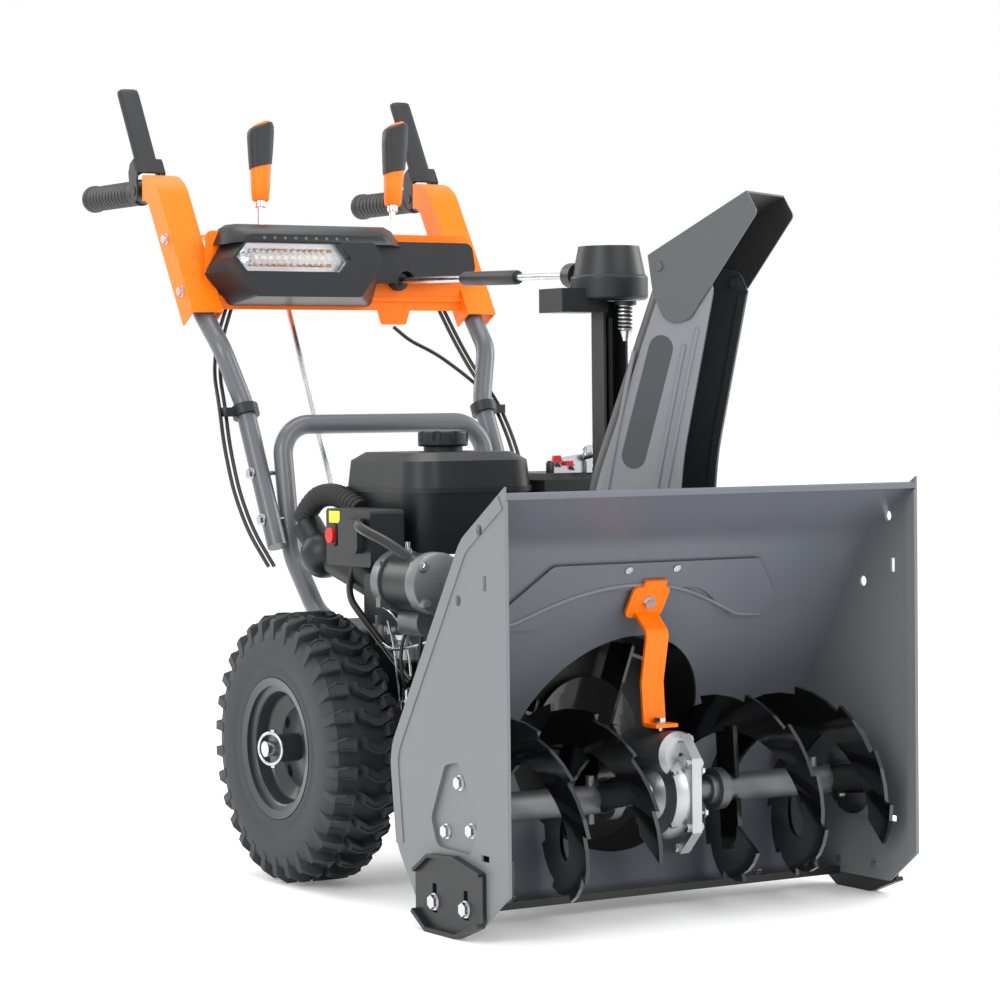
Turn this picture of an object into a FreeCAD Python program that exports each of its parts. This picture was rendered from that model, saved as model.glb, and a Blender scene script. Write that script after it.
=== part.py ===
import FreeCAD
import Part
import math
import os
import re

# Two stage snowblower, in millimetres.
# Z is up from the ground, X runs across the machine (the operator's right hand is -X)
# and Y runs from the auger housing's mouth back to the grips. The origin is on the
# ground, in the middle of the machine's width and length.

SIZES = {
    "front_to_middle": 588,
    "housing_width": 560,
    "sheet_thick": 2.5,
    "auger_back": 114,
    "auger_height": 135,
    "auger_radius": 111,
    "auger_shaft_radius": 11,
    "drum_radius": 127,
    "drum_height": 185,
    "drum_rear": 290,
    "impeller_shaft_radius": 9.5,
    "chute_side": 10,
    "chute_back": 180,
    "chute_yaw": 30,
    "chute_width": 100,
    "ring_radius": 80,
    "neck_radius": 58,
    "neck_top": 414,
    "plastic_thick": 3,
    "wheel_radius": 165,
    "tyre_outside": 269,
    "axle_back": 555,
    "axle_radius": 9.5,
    "frame_width": 276,
    "tube_radius": 12.5,
    "grip_spread": 212,
    "grip_height": 868,
    "panel_width": 400,
    "running_fit": 0.05,
    "cable_radius": 2.5,
    "hose_radius": 14,
}

Vector = FreeCAD.Vector
Placement = FreeCAD.Placement
Rotation = FreeCAD.Rotation
X_WAY = Vector(1, 0, 0)
Y_WAY = Vector(0, 1, 0)
Z_WAY = Vector(0, 0, 1)
NO_TURN = Rotation()

doc = FreeCAD.newDocument("Snowblower")
nodes = []


# ---------------------------------------------------------------- building blocks

def make_sheet():
    """The spreadsheet that holds the driving dimensions."""
    sheet = doc.addObject("Spreadsheet::Sheet", "Sizes")
    for row, (alias, value) in enumerate(SIZES.items(), start=1):
        sheet.set(f"A{row}", alias)
        sheet.set(f"B{row}", str(value))
        sheet.setAlias(f"B{row}", alias)
    doc.recompute()


def bound(text):
    """An expression on the sheet's cells, from text such as 'drum_radius + sheet_thick'."""
    return re.sub(r"[a-z][a-z_]*", lambda word: "Sizes." + word.group(), str(text))


def at(x, back, z):
    """A point given by its distance behind the front edge of the auger housing."""
    return Vector(x, back - SIZES["front_to_middle"], z)


def add(kind, **sizes):
    """A document object whose sizes are bound to the sheet."""
    made = doc.addObject(kind, kind.split("::")[1])
    for name, text in sizes.items():
        made.setExpression(name, bound(text))
    return made


def rod(radius, length, start, way=Z_WAY):
    """A round bar from start along way."""
    made = add("Part::Cylinder", Radius=radius, Height=length)
    made.Placement = Placement(start, Rotation(Z_WAY, way))
    return made


def cone(low_radius, high_radius, length, start, way=Z_WAY):
    """A tapered round bar from start along way."""
    made = add("Part::Cone", Radius1=low_radius, Radius2=high_radius, Height=length)
    made.Placement = Placement(start, Rotation(Z_WAY, way))
    return made


def block(length, width, height, centre, turn=NO_TURN):
    """A box about its centre."""
    made = add("Part::Box", Length=length, Width=width, Height=height)
    made.recompute()
    half = Vector(made.Length.Value, made.Width.Value, made.Height.Value) * 0.5
    made.Placement = Placement(centre - turn.multVec(half), turn)
    return made


def fuse(*parts):
    made = doc.addObject("Part::MultiFuse", "Fusion")
    made.Shapes = list(parts)
    return made


def cut(base, *tools):
    """The base less each tool."""
    for tool in tools:
        made = doc.addObject("Part::Cut", "Cut")
        made.Base = base
        made.Tool = tool
        base = made
    return base


def common(first, second):
    made = doc.addObject("Part::Common", "Common")
    made.Base = first
    made.Tool = second
    return made


def group(*parts):
    """Separate pieces kept together as one compound."""
    made = doc.addObject("Part::Compound", "Compound")
    made.Links = list(parts)
    return made


def mirrored(source):
    """The same piece on the other side of the machine's middle plane."""
    made = doc.addObject("Part::Mirroring", "Mirroring")
    made.Source = source
    made.Normal = X_WAY
    return made


def soften(base, radius, chosen):
    """The base with the edges that chosen(edge) picks rounded."""
    doc.recompute()
    picked = [(number, radius, radius) for number, edge in enumerate(base.Shape.Edges, start=1) if chosen(edge)]
    made = doc.addObject("Part::Fillet", "Fillet")
    made.Base = base
    made.Edges = picked
    return made


def along(way):
    """A test for straight edges that run along way."""
    def test(edge):
        straight = edge.Curve.TypeId == "Part::GeomLine"
        return straight and abs(edge.Curve.Direction.dot(way)) > 0.999
    return test


def keep(label, made):
    """Make this object a sub-part under its own name."""
    made.Label = label
    nodes.append(made)
    return made


def corner(point):
    """A corner's position and its radius, which is nothing if none is given."""
    radius = point[2] if len(point) > 2 else 0
    return Vector(point[0], point[1], 0), radius


def rounded(points):
    """A closed outline of lines and tangent arcs, from (across, up, radius) corners."""
    starts = []
    ends = []
    middles = []
    count = len(points)
    for index in range(count):
        here, radius = corner(points[index])
        before = corner(points[index - 1])[0] - here
        after = corner(points[(index + 1) % count])[0] - here
        before.normalize()
        after.normalize()
        half = before.getAngle(after) / 2
        reach = radius / math.tan(half)
        starts.append(here + before * reach)
        ends.append(here + after * reach)
        bisector = before + after
        if radius:
            bisector.normalize()
        middles.append(here + bisector * (radius / math.sin(half) - radius))
    edges = []
    for index in range(count):
        if (ends[index] - starts[index]).Length > 1e-6:
            edges.append(Part.Arc(starts[index], middles[index], ends[index]))
        following = starts[(index + 1) % count]
        if (following - ends[index]).Length > 1e-6:
            edges.append(Part.LineSegment(ends[index], following))
    return edges


def band(points, thick):
    """A closed outline one thickness wide, to the left of an open line."""
    ways = []
    for first, second in zip(points, points[1:]):
        way = corner(second)[0] - corner(first)[0]
        ways.append(way.normalize())
    sides = [Vector(-way.y, way.x, 0) for way in ways]
    last = len(points) - 1
    outer = []
    inner = []
    for index, point in enumerate(points):
        here, radius = corner(point)
        if index in (0, last):
            radius = 0
        first = sides[max(index - 1, 0)]
        second = sides[min(index, last - 1)]
        moved = here + (first + second) * (thick / (1 + first.dot(second)))
        turn = first.cross(second).z
        inner_radius = radius - math.copysign(thick, turn) if radius else 0
        outer.append((here.x, here.y, radius))
        inner.append((moved.x, moved.y, max(inner_radius, 0)))
    return outer + inner[::-1]


def sketch_in(body, plane, edges):
    """A sketch on one of the body's own origin planes."""
    sketch = body.newObject("Sketcher::SketchObject", "Sketch")
    support = next(item for item in body.Origin.OriginFeatures if item.Role == plane)
    sketch.AttachmentSupport = [(support, "")]
    sketch.MapMode = "FlatFace"
    for edge in edges:
        sketch.addGeometry(edge, False)
    return sketch


def pad(plane, points, depth, start, turn=NO_TURN):
    """A body whose outline lies in a plane through start, padded one way by depth."""
    body = doc.addObject("PartDesign::Body", "Body")
    feature = body.newObject("PartDesign::Pad", "Pad")
    feature.Profile = sketch_in(body, plane, rounded(points))
    feature.setExpression("Length", bound(depth))
    body.Placement = Placement(start, turn)
    return body


def side_pad(points, depth, x):
    """A body from an outline in (distance behind the front, height), padded towards +X."""
    return pad("YZ_Plane", points, depth, at(x, 0, 0))


def front_pad(points, depth, back):
    """A body from an outline in (X, height), padded forwards from back."""
    return pad("XZ_Plane", points, depth, at(0, back, 0))


def plan_pad(points, depth, centre, turn=NO_TURN):
    """A body from an outline in (X, Y) about centre, padded upwards."""
    return pad("XY_Plane", points, depth, centre, turn)


def turned(points, start, way):
    """A body made by turning an outline in (radius, distance along way) about way."""
    body = doc.addObject("PartDesign::Body", "Body")
    sketch = sketch_in(body, "XZ_Plane", rounded(points))
    feature = body.newObject("PartDesign::Revolution", "Revolution")
    feature.Profile = sketch
    feature.ReferenceAxis = (sketch, ["V_Axis"])
    feature.Angle = 360
    body.Placement = Placement(start, Rotation(Z_WAY, way))
    return body


def bent_wire(points):
    """Straight runs joined by tangent arcs, from (point, bend radius) pairs."""
    edges = []
    tail = points[0][0]
    for index in range(1, len(points) - 1):
        here, radius = points[index]
        before = (points[index - 1][0] - here).normalize()
        after = (points[index + 1][0] - here).normalize()
        half = before.getAngle(after) / 2
        reach = radius / math.tan(half)
        bisector = (before + after).normalize()
        middle = here + bisector * (radius / math.sin(half) - radius)
        edges.append(Part.LineSegment(tail, here + before * reach).toShape())
        edges.append(Part.Arc(here + before * reach, middle, here + after * reach).toShape())
        tail = here + after * reach
    edges.append(Part.LineSegment(tail, points[-1][0]).toShape())
    return Part.Wire(edges)


def free_bends(points):
    """Give each inner point of a loose cord's route the largest bend that its runs allow."""
    route = [(points[0], 0)]
    for before, here, after in zip(points, points[1:], points[2:]):
        turn = math.pi - (before - here).getAngle(after - here)
        shorter = min((before - here).Length, (after - here).Length)
        route.append((here, 0.45 * shorter / math.tan(turn / 2)))
    route.append((points[-1], 0))
    return route


def sweep(route, radius):
    """A round bar bent along a route of (point, bend radius) pairs."""
    path = doc.addObject("Part::Feature", "Path")
    path.Shape = bent_wire(route)
    ring = add("Part::Circle", Radius=radius)
    ring.Placement = Placement(route[0][0], Rotation(Z_WAY, route[1][0] - route[0][0]))
    made = doc.addObject("Part::Sweep", "Sweep")
    made.Sections = [ring]
    made.Spine = (path, [f"Edge{number + 1}" for number in range(len(path.Shape.Edges))])
    made.Solid = True
    made.Frenet = False
    return made


def cord(points, radius):
    """A loose cord's solid, with its bend radii and its volume printed for the record."""
    route = free_bends(points)
    made = sweep(route, radius)
    doc.recompute()
    expected = made.Spine[0].Shape.Length * math.pi * SIZES[radius] ** 2
    bends = [round(bend) for point, bend in route[1:-1]]
    print("cord length", round(made.Spine[0].Shape.Length), "bends", bends,
          "volume ratio", round(made.Shape.Volume / expected, 4))
    return made


def bolt(start, way, head=6.5, length=10, thick=5):
    """A hexagon head with its washer on a surface at start, and its shank behind."""
    turn = Rotation(Z_WAY, way)
    angles = [math.radians(60 * k) for k in range(6)]
    hexagon = [(head * math.cos(angle), head * math.sin(angle)) for angle in angles]
    washer = rod(head + 1.5, 1.2, start, way)
    top = plan_pad(hexagon, thick, start + turn.multVec(Vector(0, 0, 1)), turn)
    shank = rod(head * 0.5, length, start - turn.multVec(Vector(0, 0, length - 1)), way)
    return fuse(washer, top, shank)


# ---------------------------------------------------------------- auger housing

HALF = SIZES["housing_width"] / 2
SHEET = SIZES["sheet_thick"]
CHUTE_AXIS = at(SIZES["chute_side"], SIZES["chute_back"], 0)
PANEL_LINE = [(148, 19.5), (184, 19.5, 14), (232, 92, 60), (243, 191, 60), (90, 428, 55), (0, 488, 3), (0, 478)]
PLATE_REAR = [(191, 28, 14), (237, 88, 62), (249, 192, 62), (92, 433, 58), (0, 492)]
RECESS = [(131, 188, 9), (101, 194, 9), (57, 136, 14), (70, 90, 14), (150, 92, 14), (164, 124, 14)]
RECESS_BOLTS = [(104, 168), (80, 118), (133, 112)]
SKID_BOLTS = [(78, 34), (144, 34)]


def mouth():
    """The space in front of the back panel, which trims what stands behind the panel."""
    open_line = [(-80, 0), (148, 0)] + PANEL_LINE[:-2] + [(0, 488), (-80, 488)]
    return side_pad(open_line, "housing_width", -HALF)


def auger_housing():
    """The back panel, folded from one sheet, with the drum's opening and a pressed shape."""
    width = "housing_width - 2 * sheet_thick"
    panel = side_pad(band(PANEL_LINE, SHEET), width, -HALF + SHEET)
    pressed = side_pad(band([(241.1, 189.7), (88.1, 426.7)], 3.6), "housing_width - 40", -HALF + 20)
    shape = [(-194, 357), (-152, 399, 12), (130, 399, 12), (172, 357, 12), (160, 330, 12), (122, 330, 20),
             (60, 368, 60), (-84, 368, 60), (-146, 326, 20), (-190, 326)]
    pressing = common(pressed, front_pad(shape, 200, 200))
    opening = rod("drum_radius", 200, at(0, 120, SIZES["drum_height"]), Y_WAY)
    return keep("auger_housing", cut(fuse(panel, pressing), opening))


def side_plate():
    """The right side plate: a hemmed front, a raised rear band, holes and a bolted recess."""
    outline = [(0, 56), (51, 17.5, 10), (186, 17.5)] + PLATE_REAR
    plate = side_pad(outline, "sheet_thick", -HALF)
    hem = side_pad([(0, 56), (0, 477), (17, 466), (17, 45)], "sheet_thick", -HALF + SHEET - 0.5)
    inset = band(PLATE_REAR[1:-1] + [(13, 483.7)], 1.5)[:3:-1]
    rear_band = side_pad(band(inset, 16), 2.2, -HALF - 1.2)
    boss = side_pad(RECESS, 7.5, -HALF)
    hollow = side_pad([(104 + (y - 104) * 0.93, 136 + (z - 136) * 0.95, r) for y, z, r in RECESS], 5, -HALF)
    holes = [rod(6, 30, at(-HALF - 10, 50, 445), X_WAY), rod(6, 30, at(-HALF - 10, 97, 367), X_WAY)]
    slots = [block(30, 7, 16, at(-HALF, 42, 388)), block(30, 16, 7, at(-HALF, 46, 92))]
    bolt_holes = [rod(3.5, 30, at(-HALF - 10, y, z), X_WAY) for y, z in RECESS_BOLTS]
    return cut(fuse(plate, hem, rear_band, boss), hollow, *holes, *slots, *bolt_holes)


def impeller_drum():
    """The drum behind the panel, its rear wall and the neck that leads up to the chute."""
    height = SIZES["drum_height"]
    outer = rod("drum_radius + sheet_thick", "drum_rear - 100", at(0, 100, height), Y_WAY)
    neck = rod("neck_radius + sheet_thick", "neck_top - drum_height", CHUTE_AXIS + Vector(0, 0, height))
    inner = rod("drum_radius", "drum_rear - 100 - sheet_thick", at(0, 100, height), Y_WAY)
    neck_inner = rod("neck_radius", 400, CHUTE_AXIS + Vector(0, 0, height))
    bore = rod("impeller_shaft_radius + running_fit", 60, at(0, 260, height), Y_WAY)
    bearing = rod(26, 14, at(0, SIZES["drum_rear"] - 8, height), Y_WAY)
    shell = cut(fuse(outer, neck), inner, neck_inner)
    return keep("impeller_drum", cut(fuse(shell, bearing), bore, mouth()))


def chute_collar():
    """The plastic guide ring that the chute turns on."""
    ring = rod("ring_radius", 5.5, CHUTE_AXIS + Vector(0, 0, SIZES["neck_top"]))
    hole = rod("neck_radius", 60, CHUTE_AXIS + Vector(0, 0, 390))
    return keep("chute_collar", cut(ring, hole, mouth()))


def scraper_bar():
    """The wear bar under the back panel's lower edge."""
    bar = block("housing_width - 2 * sheet_thick - 1", 44, 4, at(0, 166, 17.4))
    front = block("housing_width - 2 * sheet_thick - 1", 4, 9, at(0, 146, 19.9))
    return keep("scraper_bar", fuse(bar, front))


def skid_shoe():
    """The right skid shoe: a slotted plate with a rim along its sole and its top."""
    outline = [(186, 18, 6), (186, 66, 6), (154, 86, 6), (100, 89, 10), (44, 77, 6), (44, 18, 6), (92, 0, 20),
               (156, 0, 10)]
    face = -HALF - 5.4
    plate = side_pad(outline, 4, face)
    sole = side_pad(band([(44, 18), (92, 0, 20), (156, 0, 10), (186, 18)], 5), 9, face - 7)
    top = side_pad(band([(186, 66), (154, 86, 6), (100, 89, 10), (44, 77)], 4), 7, face - 5)
    slots = [block(30, 10, 32, at(face, y, 38)) for y, z in SKID_BOLTS]
    return cut(fuse(plate, sole, top), *slots)


def housing_bolts():
    """Bolts of the skid shoes, bearings, back panel, side plates, scraper, brace and gearbox."""
    made = []
    for side in (-1, 1):
        out = X_WAY * side
        made += [bolt(at(side * (HALF + 5.4), y, z), out, head=8, length=12) for y, z in SKID_BOLTS]
        made += [bolt(at(side * (HALF - 5), y, z), out, head=7) for y, z in RECESS_BOLTS]
        made.append(bolt(at(side * 172, 168, 22.2), Z_WAY, head=6, length=8, thick=4))
    slope = Vector(0, -237, -153).normalize()
    made += [bolt(at(x, 108, 393), slope, head=5, length=6, thick=3) for x in (-50, 16)]
    made.append(bolt(at(-10, 125.2, 353), slope, head=7, length=10))
    made.append(bolt(at(-8, 108, 216.3), Z_WAY, head=7, length=10))
    centre = at(19.1, SIZES["auger_back"], SIZES["auger_height"])
    for degrees in (33, 147, 200, 250, 290, 340):
        angle = math.radians(degrees)
        reach = Vector(0, math.cos(angle), math.sin(angle)) * 53
        made.append(bolt(centre + reach, X_WAY, head=5, length=13, thick=4))
    return keep("housing_bolts", group(*made))


def auger_bearings():
    """A flanged plain bearing for the auger shaft on each side plate."""
    made = []
    for side in (-1, 1):
        inward = X_WAY * -side
        start = at(side * (HALF - 7.5), SIZES["auger_back"], SIZES["auger_height"])
        flange = rod(44, 3, start, inward)
        boss = rod(17, 16, start, inward)
        bore = rod("auger_shaft_radius + running_fit", 30, start + inward * -5, inward)
        made.append(cut(fuse(flange, boss), bore))
    return keep("auger_bearings", group(*made))


# ---------------------------------------------------------------- auger drive

def gearbox():
    """The two cast halves of the worm gearbox, split across the auger shaft."""
    back = SIZES["auger_back"]
    low = SIZES["auger_height"]
    high = SIZES["drum_height"]
    octagon = [(back + 61 * math.cos(math.radians(45 * k + 22.5)),
                low + 8 + 64 * math.sin(math.radians(45 * k + 22.5)), 8) for k in range(8)]
    can = cone(34, 47, 42, at(-36, back, low), X_WAY)
    right_flange = side_pad(octagon, 6, 6)
    nose = rod(19, 22, at(-54, back, low), X_WAY)
    tower = rod(24, 104, at(0, 80, high + 2), Y_WAY)
    case = soften(block(44, 104, 130, at(-16, back, low + 10)), 30, along(X_WAY))
    ribs = [block(36, 5, 84, at(-12, back, low), Rotation(X_WAY, 45 * k)) for k in range(4)]
    keep_right = block(72, 400, 400, at(-24, back, low))
    cavity = rod(37, 40, at(-28, back, low), X_WAY)
    worm_room = rod(15.5, 70, at(0, 88, high), Y_WAY)
    shaft_bore = rod("auger_shaft_radius + running_fit", 200, at(-100, back, low), X_WAY)
    worm_bore = rod("impeller_shaft_radius + running_fit", 200, at(0, 85.6, high), Y_WAY)
    body = common(fuse(can, right_flange, nose, tower, case, *ribs), keep_right)
    keep("gearbox_half_right", cut(body, cavity, worm_room, shaft_bore, worm_bore))

    left_flange = side_pad(octagon, 7, 12.1)
    dome = cone(45, 32, 30, at(12.1, back, low), X_WAY)
    left_nose = rod(19, 22, at(32, back, low), X_WAY)
    left_cavity = rod(37, 24, at(12, back, low), X_WAY)
    left_tower = common(rod(24, 104, at(0, 80, high + 2), Y_WAY), block(40, 400, 400, at(32.1, back, low)))
    left_body = fuse(left_flange, dome, left_nose, left_tower)
    left_worm_room = rod(15.5, 70, at(0, 88, high), Y_WAY)
    left_bore = rod("auger_shaft_radius + running_fit", 200, at(-100, back, low), X_WAY)
    keep("gearbox_half_left", cut(left_body, left_cavity, left_worm_room, left_bore))


def gearbox_brace():
    """The strap that holds the gearbox to the back panel, with a tab at its top."""
    line = [(92, 212.2), (120, 212.2, 6), (124, 262, 10), (112, 318, 10), (137.5, 341, 6), (113, 379)]
    strap = side_pad(band(line, 4), 30, -24)
    tab = pad("XY_Plane", [(-28, -20, 8), (22, -20, 8), (22, 22, 8), (-28, 22, 8)], 4,
              at(-8, 129.2, 354), Rotation(X_WAY, 123))
    return keep("gearbox_brace", fuse(strap, tab))


def auger_shaft():
    """The shaft across the housing, its two drive tubes and the worm wheel inside the gearbox."""
    low = SIZES["auger_height"]
    back = SIZES["auger_back"]
    shaft = rod("auger_shaft_radius", "housing_width - 19", at(-HALF + 9.5, back, low), X_WAY)
    wheel = rod(34, 16, at(-8, back, low), X_WAY)
    tubes = []
    for side in (-1, 1):
        tubes.append(rod(16.5, 190, at(side * 60, back, low), X_WAY * side))
        tubes.append(rod(24, 12, at(side * 68, back, low), X_WAY * side))
        tubes.append(rod(5, 54, at(side * 100, back, low - 27)))
        tubes.append(rod(5, 54, at(side * 214, back, low - 27)))
    return keep("auger_shaft", fuse(shaft, wheel, *tubes))


PITCH = 190
RIBBON_SPAN = 195
RIBBON_TEETH = 11
RIBBON_WIDTH = 46
RIBBON_THICK = 5
TOOTH_DEPTH = 9
TOOTH_STEPS = 3


def ribbon_section(start_x, turn_start, side, teeth_along, outer):
    """The ribbon's cross-section, some teeth along it, as a closed wire."""
    along_x = RIBBON_SPAN * teeth_along / RIBBON_TEETH
    angle = math.radians(turn_start + side * 360 * along_x / PITCH)
    centre = at(start_x + side * along_x, SIZES["auger_back"], SIZES["auger_height"])
    reach = Vector(0, math.cos(angle), math.sin(angle))
    low = centre + reach * (SIZES["auger_radius"] - RIBBON_WIDTH)
    high = centre + reach * outer
    offset = X_WAY * (side * RIBBON_THICK)
    return Part.makePolygon([low, high, high + offset, low + offset, low])


def ribbon(start_x, turn_start, side):
    """One auger ribbon: stepped teeth along a helix, on flat arms from the drive tube."""
    pieces = []
    for tooth_number in range(RIBBON_TEETH):
        sections = []
        for step in range(TOOTH_STEPS + 1):
            share = step / TOOTH_STEPS
            outer = SIZES["auger_radius"] - TOOTH_DEPTH * share
            sections.append(ribbon_section(start_x, turn_start, side, tooth_number + share, outer))
        pieces.append(Part.makeLoft(sections, True, True))
    solid = pieces[0].multiFuse(pieces[1:])
    arm_length = SIZES["auger_radius"] - RIBBON_WIDTH + 6
    for place in (1.5, 9.5):
        along_x = RIBBON_SPAN * place / RIBBON_TEETH
        arm = Part.makeBox(6, arm_length - 12, 34, Vector(-3, 12, -17))
        arm.rotate(Vector(), X_WAY, turn_start + side * 360 * along_x / PITCH)
        reach = start_x + side * (along_x + RIBBON_THICK / 2)
        arm.translate(at(reach, SIZES["auger_back"], SIZES["auger_height"]))
        solid = solid.fuse(arm)
    return solid


def auger_flights():
    """Two ribbons on each side, wound so that both sides feed the middle."""
    for label, side in (("auger_flights_right", -1), ("auger_flights_left", 1)):
        flights = doc.addObject("Part::Feature", "Flights")
        flights.Shape = Part.Compound([ribbon(side * 64, start, side) for start in (35, 215)])
        keep(label, flights)


def impeller():
    """The impeller: hub, back disc, four bent blades, and the shaft with the worm at its front."""
    height = SIZES["drum_height"]
    shaft = rod("impeller_shaft_radius", 244, at(0, 88, height), Y_WAY)
    worm = rod(13.2, 50, at(0, SIZES["auger_back"] - 24, height), Y_WAY)
    hub = rod(21, 72, at(0, 204, height), Y_WAY)
    disc = rod(72, 4, at(0, 272, height), Y_WAY)
    blades = []
    for k in range(4):
        turn = Rotation(Y_WAY, 90 * k + 20)
        reach = turn.multVec(Vector(68, 0, 0))
        blades.append(block(100, 46, 4, at(0, 252, height) + reach, turn))
        tip = turn.multVec(Vector(106, 0, -8))
        blades.append(block(4, 46, 20, at(0, 252, height) + tip, turn))
    return keep("impeller", fuse(shaft, worm, hub, disc, *blades))


# ---------------------------------------------------------------- chute

CHUTE_TURN = Rotation(Z_WAY, SIZES["chute_yaw"])
FORWARD = CHUTE_TURN.multVec(Vector(0, -1, 0))
CHUTE_RIGHT = CHUTE_TURN.multVec(Vector(-1, 0, 0))
TILT_PIVOT = (58, 733)


def chute_pad(points, width):
    """A body from an outline in (reach forwards, height), as wide as the chute's cheeks."""
    half = CHUTE_RIGHT * (width / 2)
    turn = Rotation(Z_WAY, SIZES["chute_yaw"] + 180)
    outline = [(-point[0], *point[1:]) for point in points]
    upright = Placement(CHUTE_AXIS + half, turn.multiply(Rotation(Z_WAY, 180)))
    body = pad("YZ_Plane", outline[::-1], width, upright.Base, upright.Rotation)
    return body


def chute():
    """The chute: a channel open to the front on a toothed ring, with stop bolts at its top."""
    back_line = [(-58, 427.5), (-39, 500, 350), (50, 738)]
    front_line = [(112, 730, 16), (123, 706), (84, 520, 400), (76, 427.5)]
    wall = SIZES["plastic_thick"]
    outer = soften(chute_pad(back_line + front_line, SIZES["chute_width"]), 26, rear_edges)
    inner_back = [(-58 + wall, 400), (-39 + wall, 500, 350), (66 + wall, 772)]
    inner_front = [(260, 772), (260, 400)]
    inner = soften(chute_pad(inner_back + inner_front, SIZES["chute_width"] - 2 * wall), 23, rear_edges)
    lips = [lip(side) for side in (-1, 1)]
    ring = rod("ring_radius", 7.5, CHUTE_AXIS + Vector(0, 0, 420.2))
    foot = rod("neck_radius + 8", 12, CHUTE_AXIS + Vector(0, 0, 427))
    hole = rod("neck_radius", 60, CHUTE_AXIS + Vector(0, 0, 400))
    teeth = [tooth(k) for k in range(36)]
    ears = [ear(side) for side in (-1, 1)]
    channel = fuse(cut(outer, inner), *lips, *ears)
    base = cut(fuse(ring, foot, *teeth), hole)
    return keep("chute", fuse(cut(channel, rod("neck_radius", 30, CHUTE_AXIS + Vector(0, 0, 410))), base))


def rear_edges(edge):
    """The long edges at the back of the channel."""
    middle = edge.CenterOfMass - CHUTE_AXIS
    reach = middle.dot(FORWARD)
    steep = abs(edge.tangentAt(edge.FirstParameter).z) > 0.8
    return steep and edge.Length > 20 and reach < (middle.z - 500) * 0.38 - 10


def lip(side):
    """The narrow flange along a cheek's front edge."""
    line = [(76, 440), (84, 520, 400), (122, 702)]
    body = chute_pad(band(line, 9), 5)
    body.Placement.Base = body.Placement.Base + CHUTE_RIGHT * (side * (SIZES["chute_width"] / 2 - 2.6))
    return body


def ear(side):
    """A stop bolt near the top of a cheek, inside the channel."""
    start = CHUTE_AXIS + FORWARD * 108 + Vector(0, 0, 716) + CHUTE_RIGHT * (side * 48)
    return bolt(start, CHUTE_RIGHT * -side, head=6, length=3, thick=5)


def tooth(k):
    """One tooth of the ring that the crank's pinion drives."""
    turn = Rotation(Z_WAY, 10 * k)
    reach = turn.multVec(Vector(SIZES["ring_radius"], 0, 0))
    return block(6, 5, 7.5, CHUTE_AXIS + Vector(0, 0, 423.95) + reach, turn)


def deflector():
    """The hood on top of the chute: two cheeks outside the channel under a sloped plate."""
    half = SIZES["chute_width"] / 2 + 0.6
    outline = [(44, 746), (166, 814), (179, 790, 8), (95, 672, 18), (66, 666, 20), (50, 704, 30)]
    under = [(20, 729.5), (200, 829.8), (200, 600), (20, 600)]
    shell = cut(chute_pad(outline, 2 * half + 5), chute_pad(under, 2 * half))
    pivot = CHUTE_AXIS + FORWARD * TILT_PIVOT[0] + Vector(0, 0, TILT_PIVOT[1])
    pins = [rod(5, 3, pivot + CHUTE_RIGHT * (side * (half + 2)), CHUTE_RIGHT * side) for side in (-1, 1)]
    tag = block(22, 3, 16, pivot + FORWARD * -4 + Vector(0, 0, 22), Rotation(Z_WAY, SIZES["chute_yaw"]))
    return keep("deflector", fuse(shell, tag, *pins))


HEAD = at(36, 268, 0)
CRANK_END = at(12, 312, 731)
CRANK_HOLE = at(86, 853, 747)


def chute_post():
    """The channel post behind the chute, with the pinion housing at its foot."""
    outer = block(34, 26, 262, HEAD + Vector(0, 0, 569))
    inner = block(28, 26, 280, HEAD + Vector(0, -4, 569))
    foot = block(34, 42, 3, HEAD + Vector(0, 8, 439.5))
    strut = block(30, 4.8, 156, at(36, 292.6, 362))
    return keep("chute_post", fuse(cut(outer, inner), foot, strut))


def chute_gear_head():
    """The gear case on the post, with its side box, spring and drive shaft."""
    lower = soften(rod(46, 30, HEAD + Vector(0, 0, 700.5)), 5, round_rim)
    upper = cone(43, 36, 34, HEAD + Vector(0, 0, 730))
    box = block(64, 50, 28, HEAD + Vector(-44, 10, 700))
    spring_top = rod(13, 5, HEAD + Vector(4, -28, 694))
    spring = rod(8, 34, HEAD + Vector(4, -28, 664))
    shaft = rod(4, 240, HEAD + Vector(0, 0, 440))
    socket = rod(15, 22, CRANK_END + (CRANK_END - CRANK_HOLE).normalize() * 21, CRANK_HOLE - CRANK_END)
    bore = rod(7.2, 16, CRANK_END - (CRANK_HOLE - CRANK_END).normalize() * 12, CRANK_HOLE - CRANK_END)
    case = cut(fuse(lower, upper, box, socket), bore)
    shaft_top = block(60, 60, 20, HEAD + Vector(0, 0, 705))
    return keep("chute_gear_head", fuse(case, spring_top, spring, cut(shaft, shaft_top)))


def round_rim(edge):
    return edge.Curve.TypeId == "Part::GeomCircle"


def chute_crank():
    """The crank: a thin rod from the gear head, a sleeve by the console, and its handle behind."""
    way = (CRANK_HOLE - CRANK_END).normalize()
    reach = (CRANK_HOLE - CRANK_END).Length
    thin = rod(4, reach + 90, CRANK_END - way * 10, way)
    end = rod(7, 30, CRANK_END - way * 11, way)
    sleeve = rod(8.5, 104, CRANK_END + way * (reach - 190), way)
    across = way.cross(Z_WAY).normalize()
    swing = rod(4, 44, CRANK_END + way * (reach + 78) - across * 3, across)
    knob = rod(9, 78, CRANK_END + way * (reach + 78) + across * 39, way)
    return keep("chute_crank", fuse(thin, end, sleeve, swing, knob))


# ---------------------------------------------------------------- frame and wheels

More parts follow.
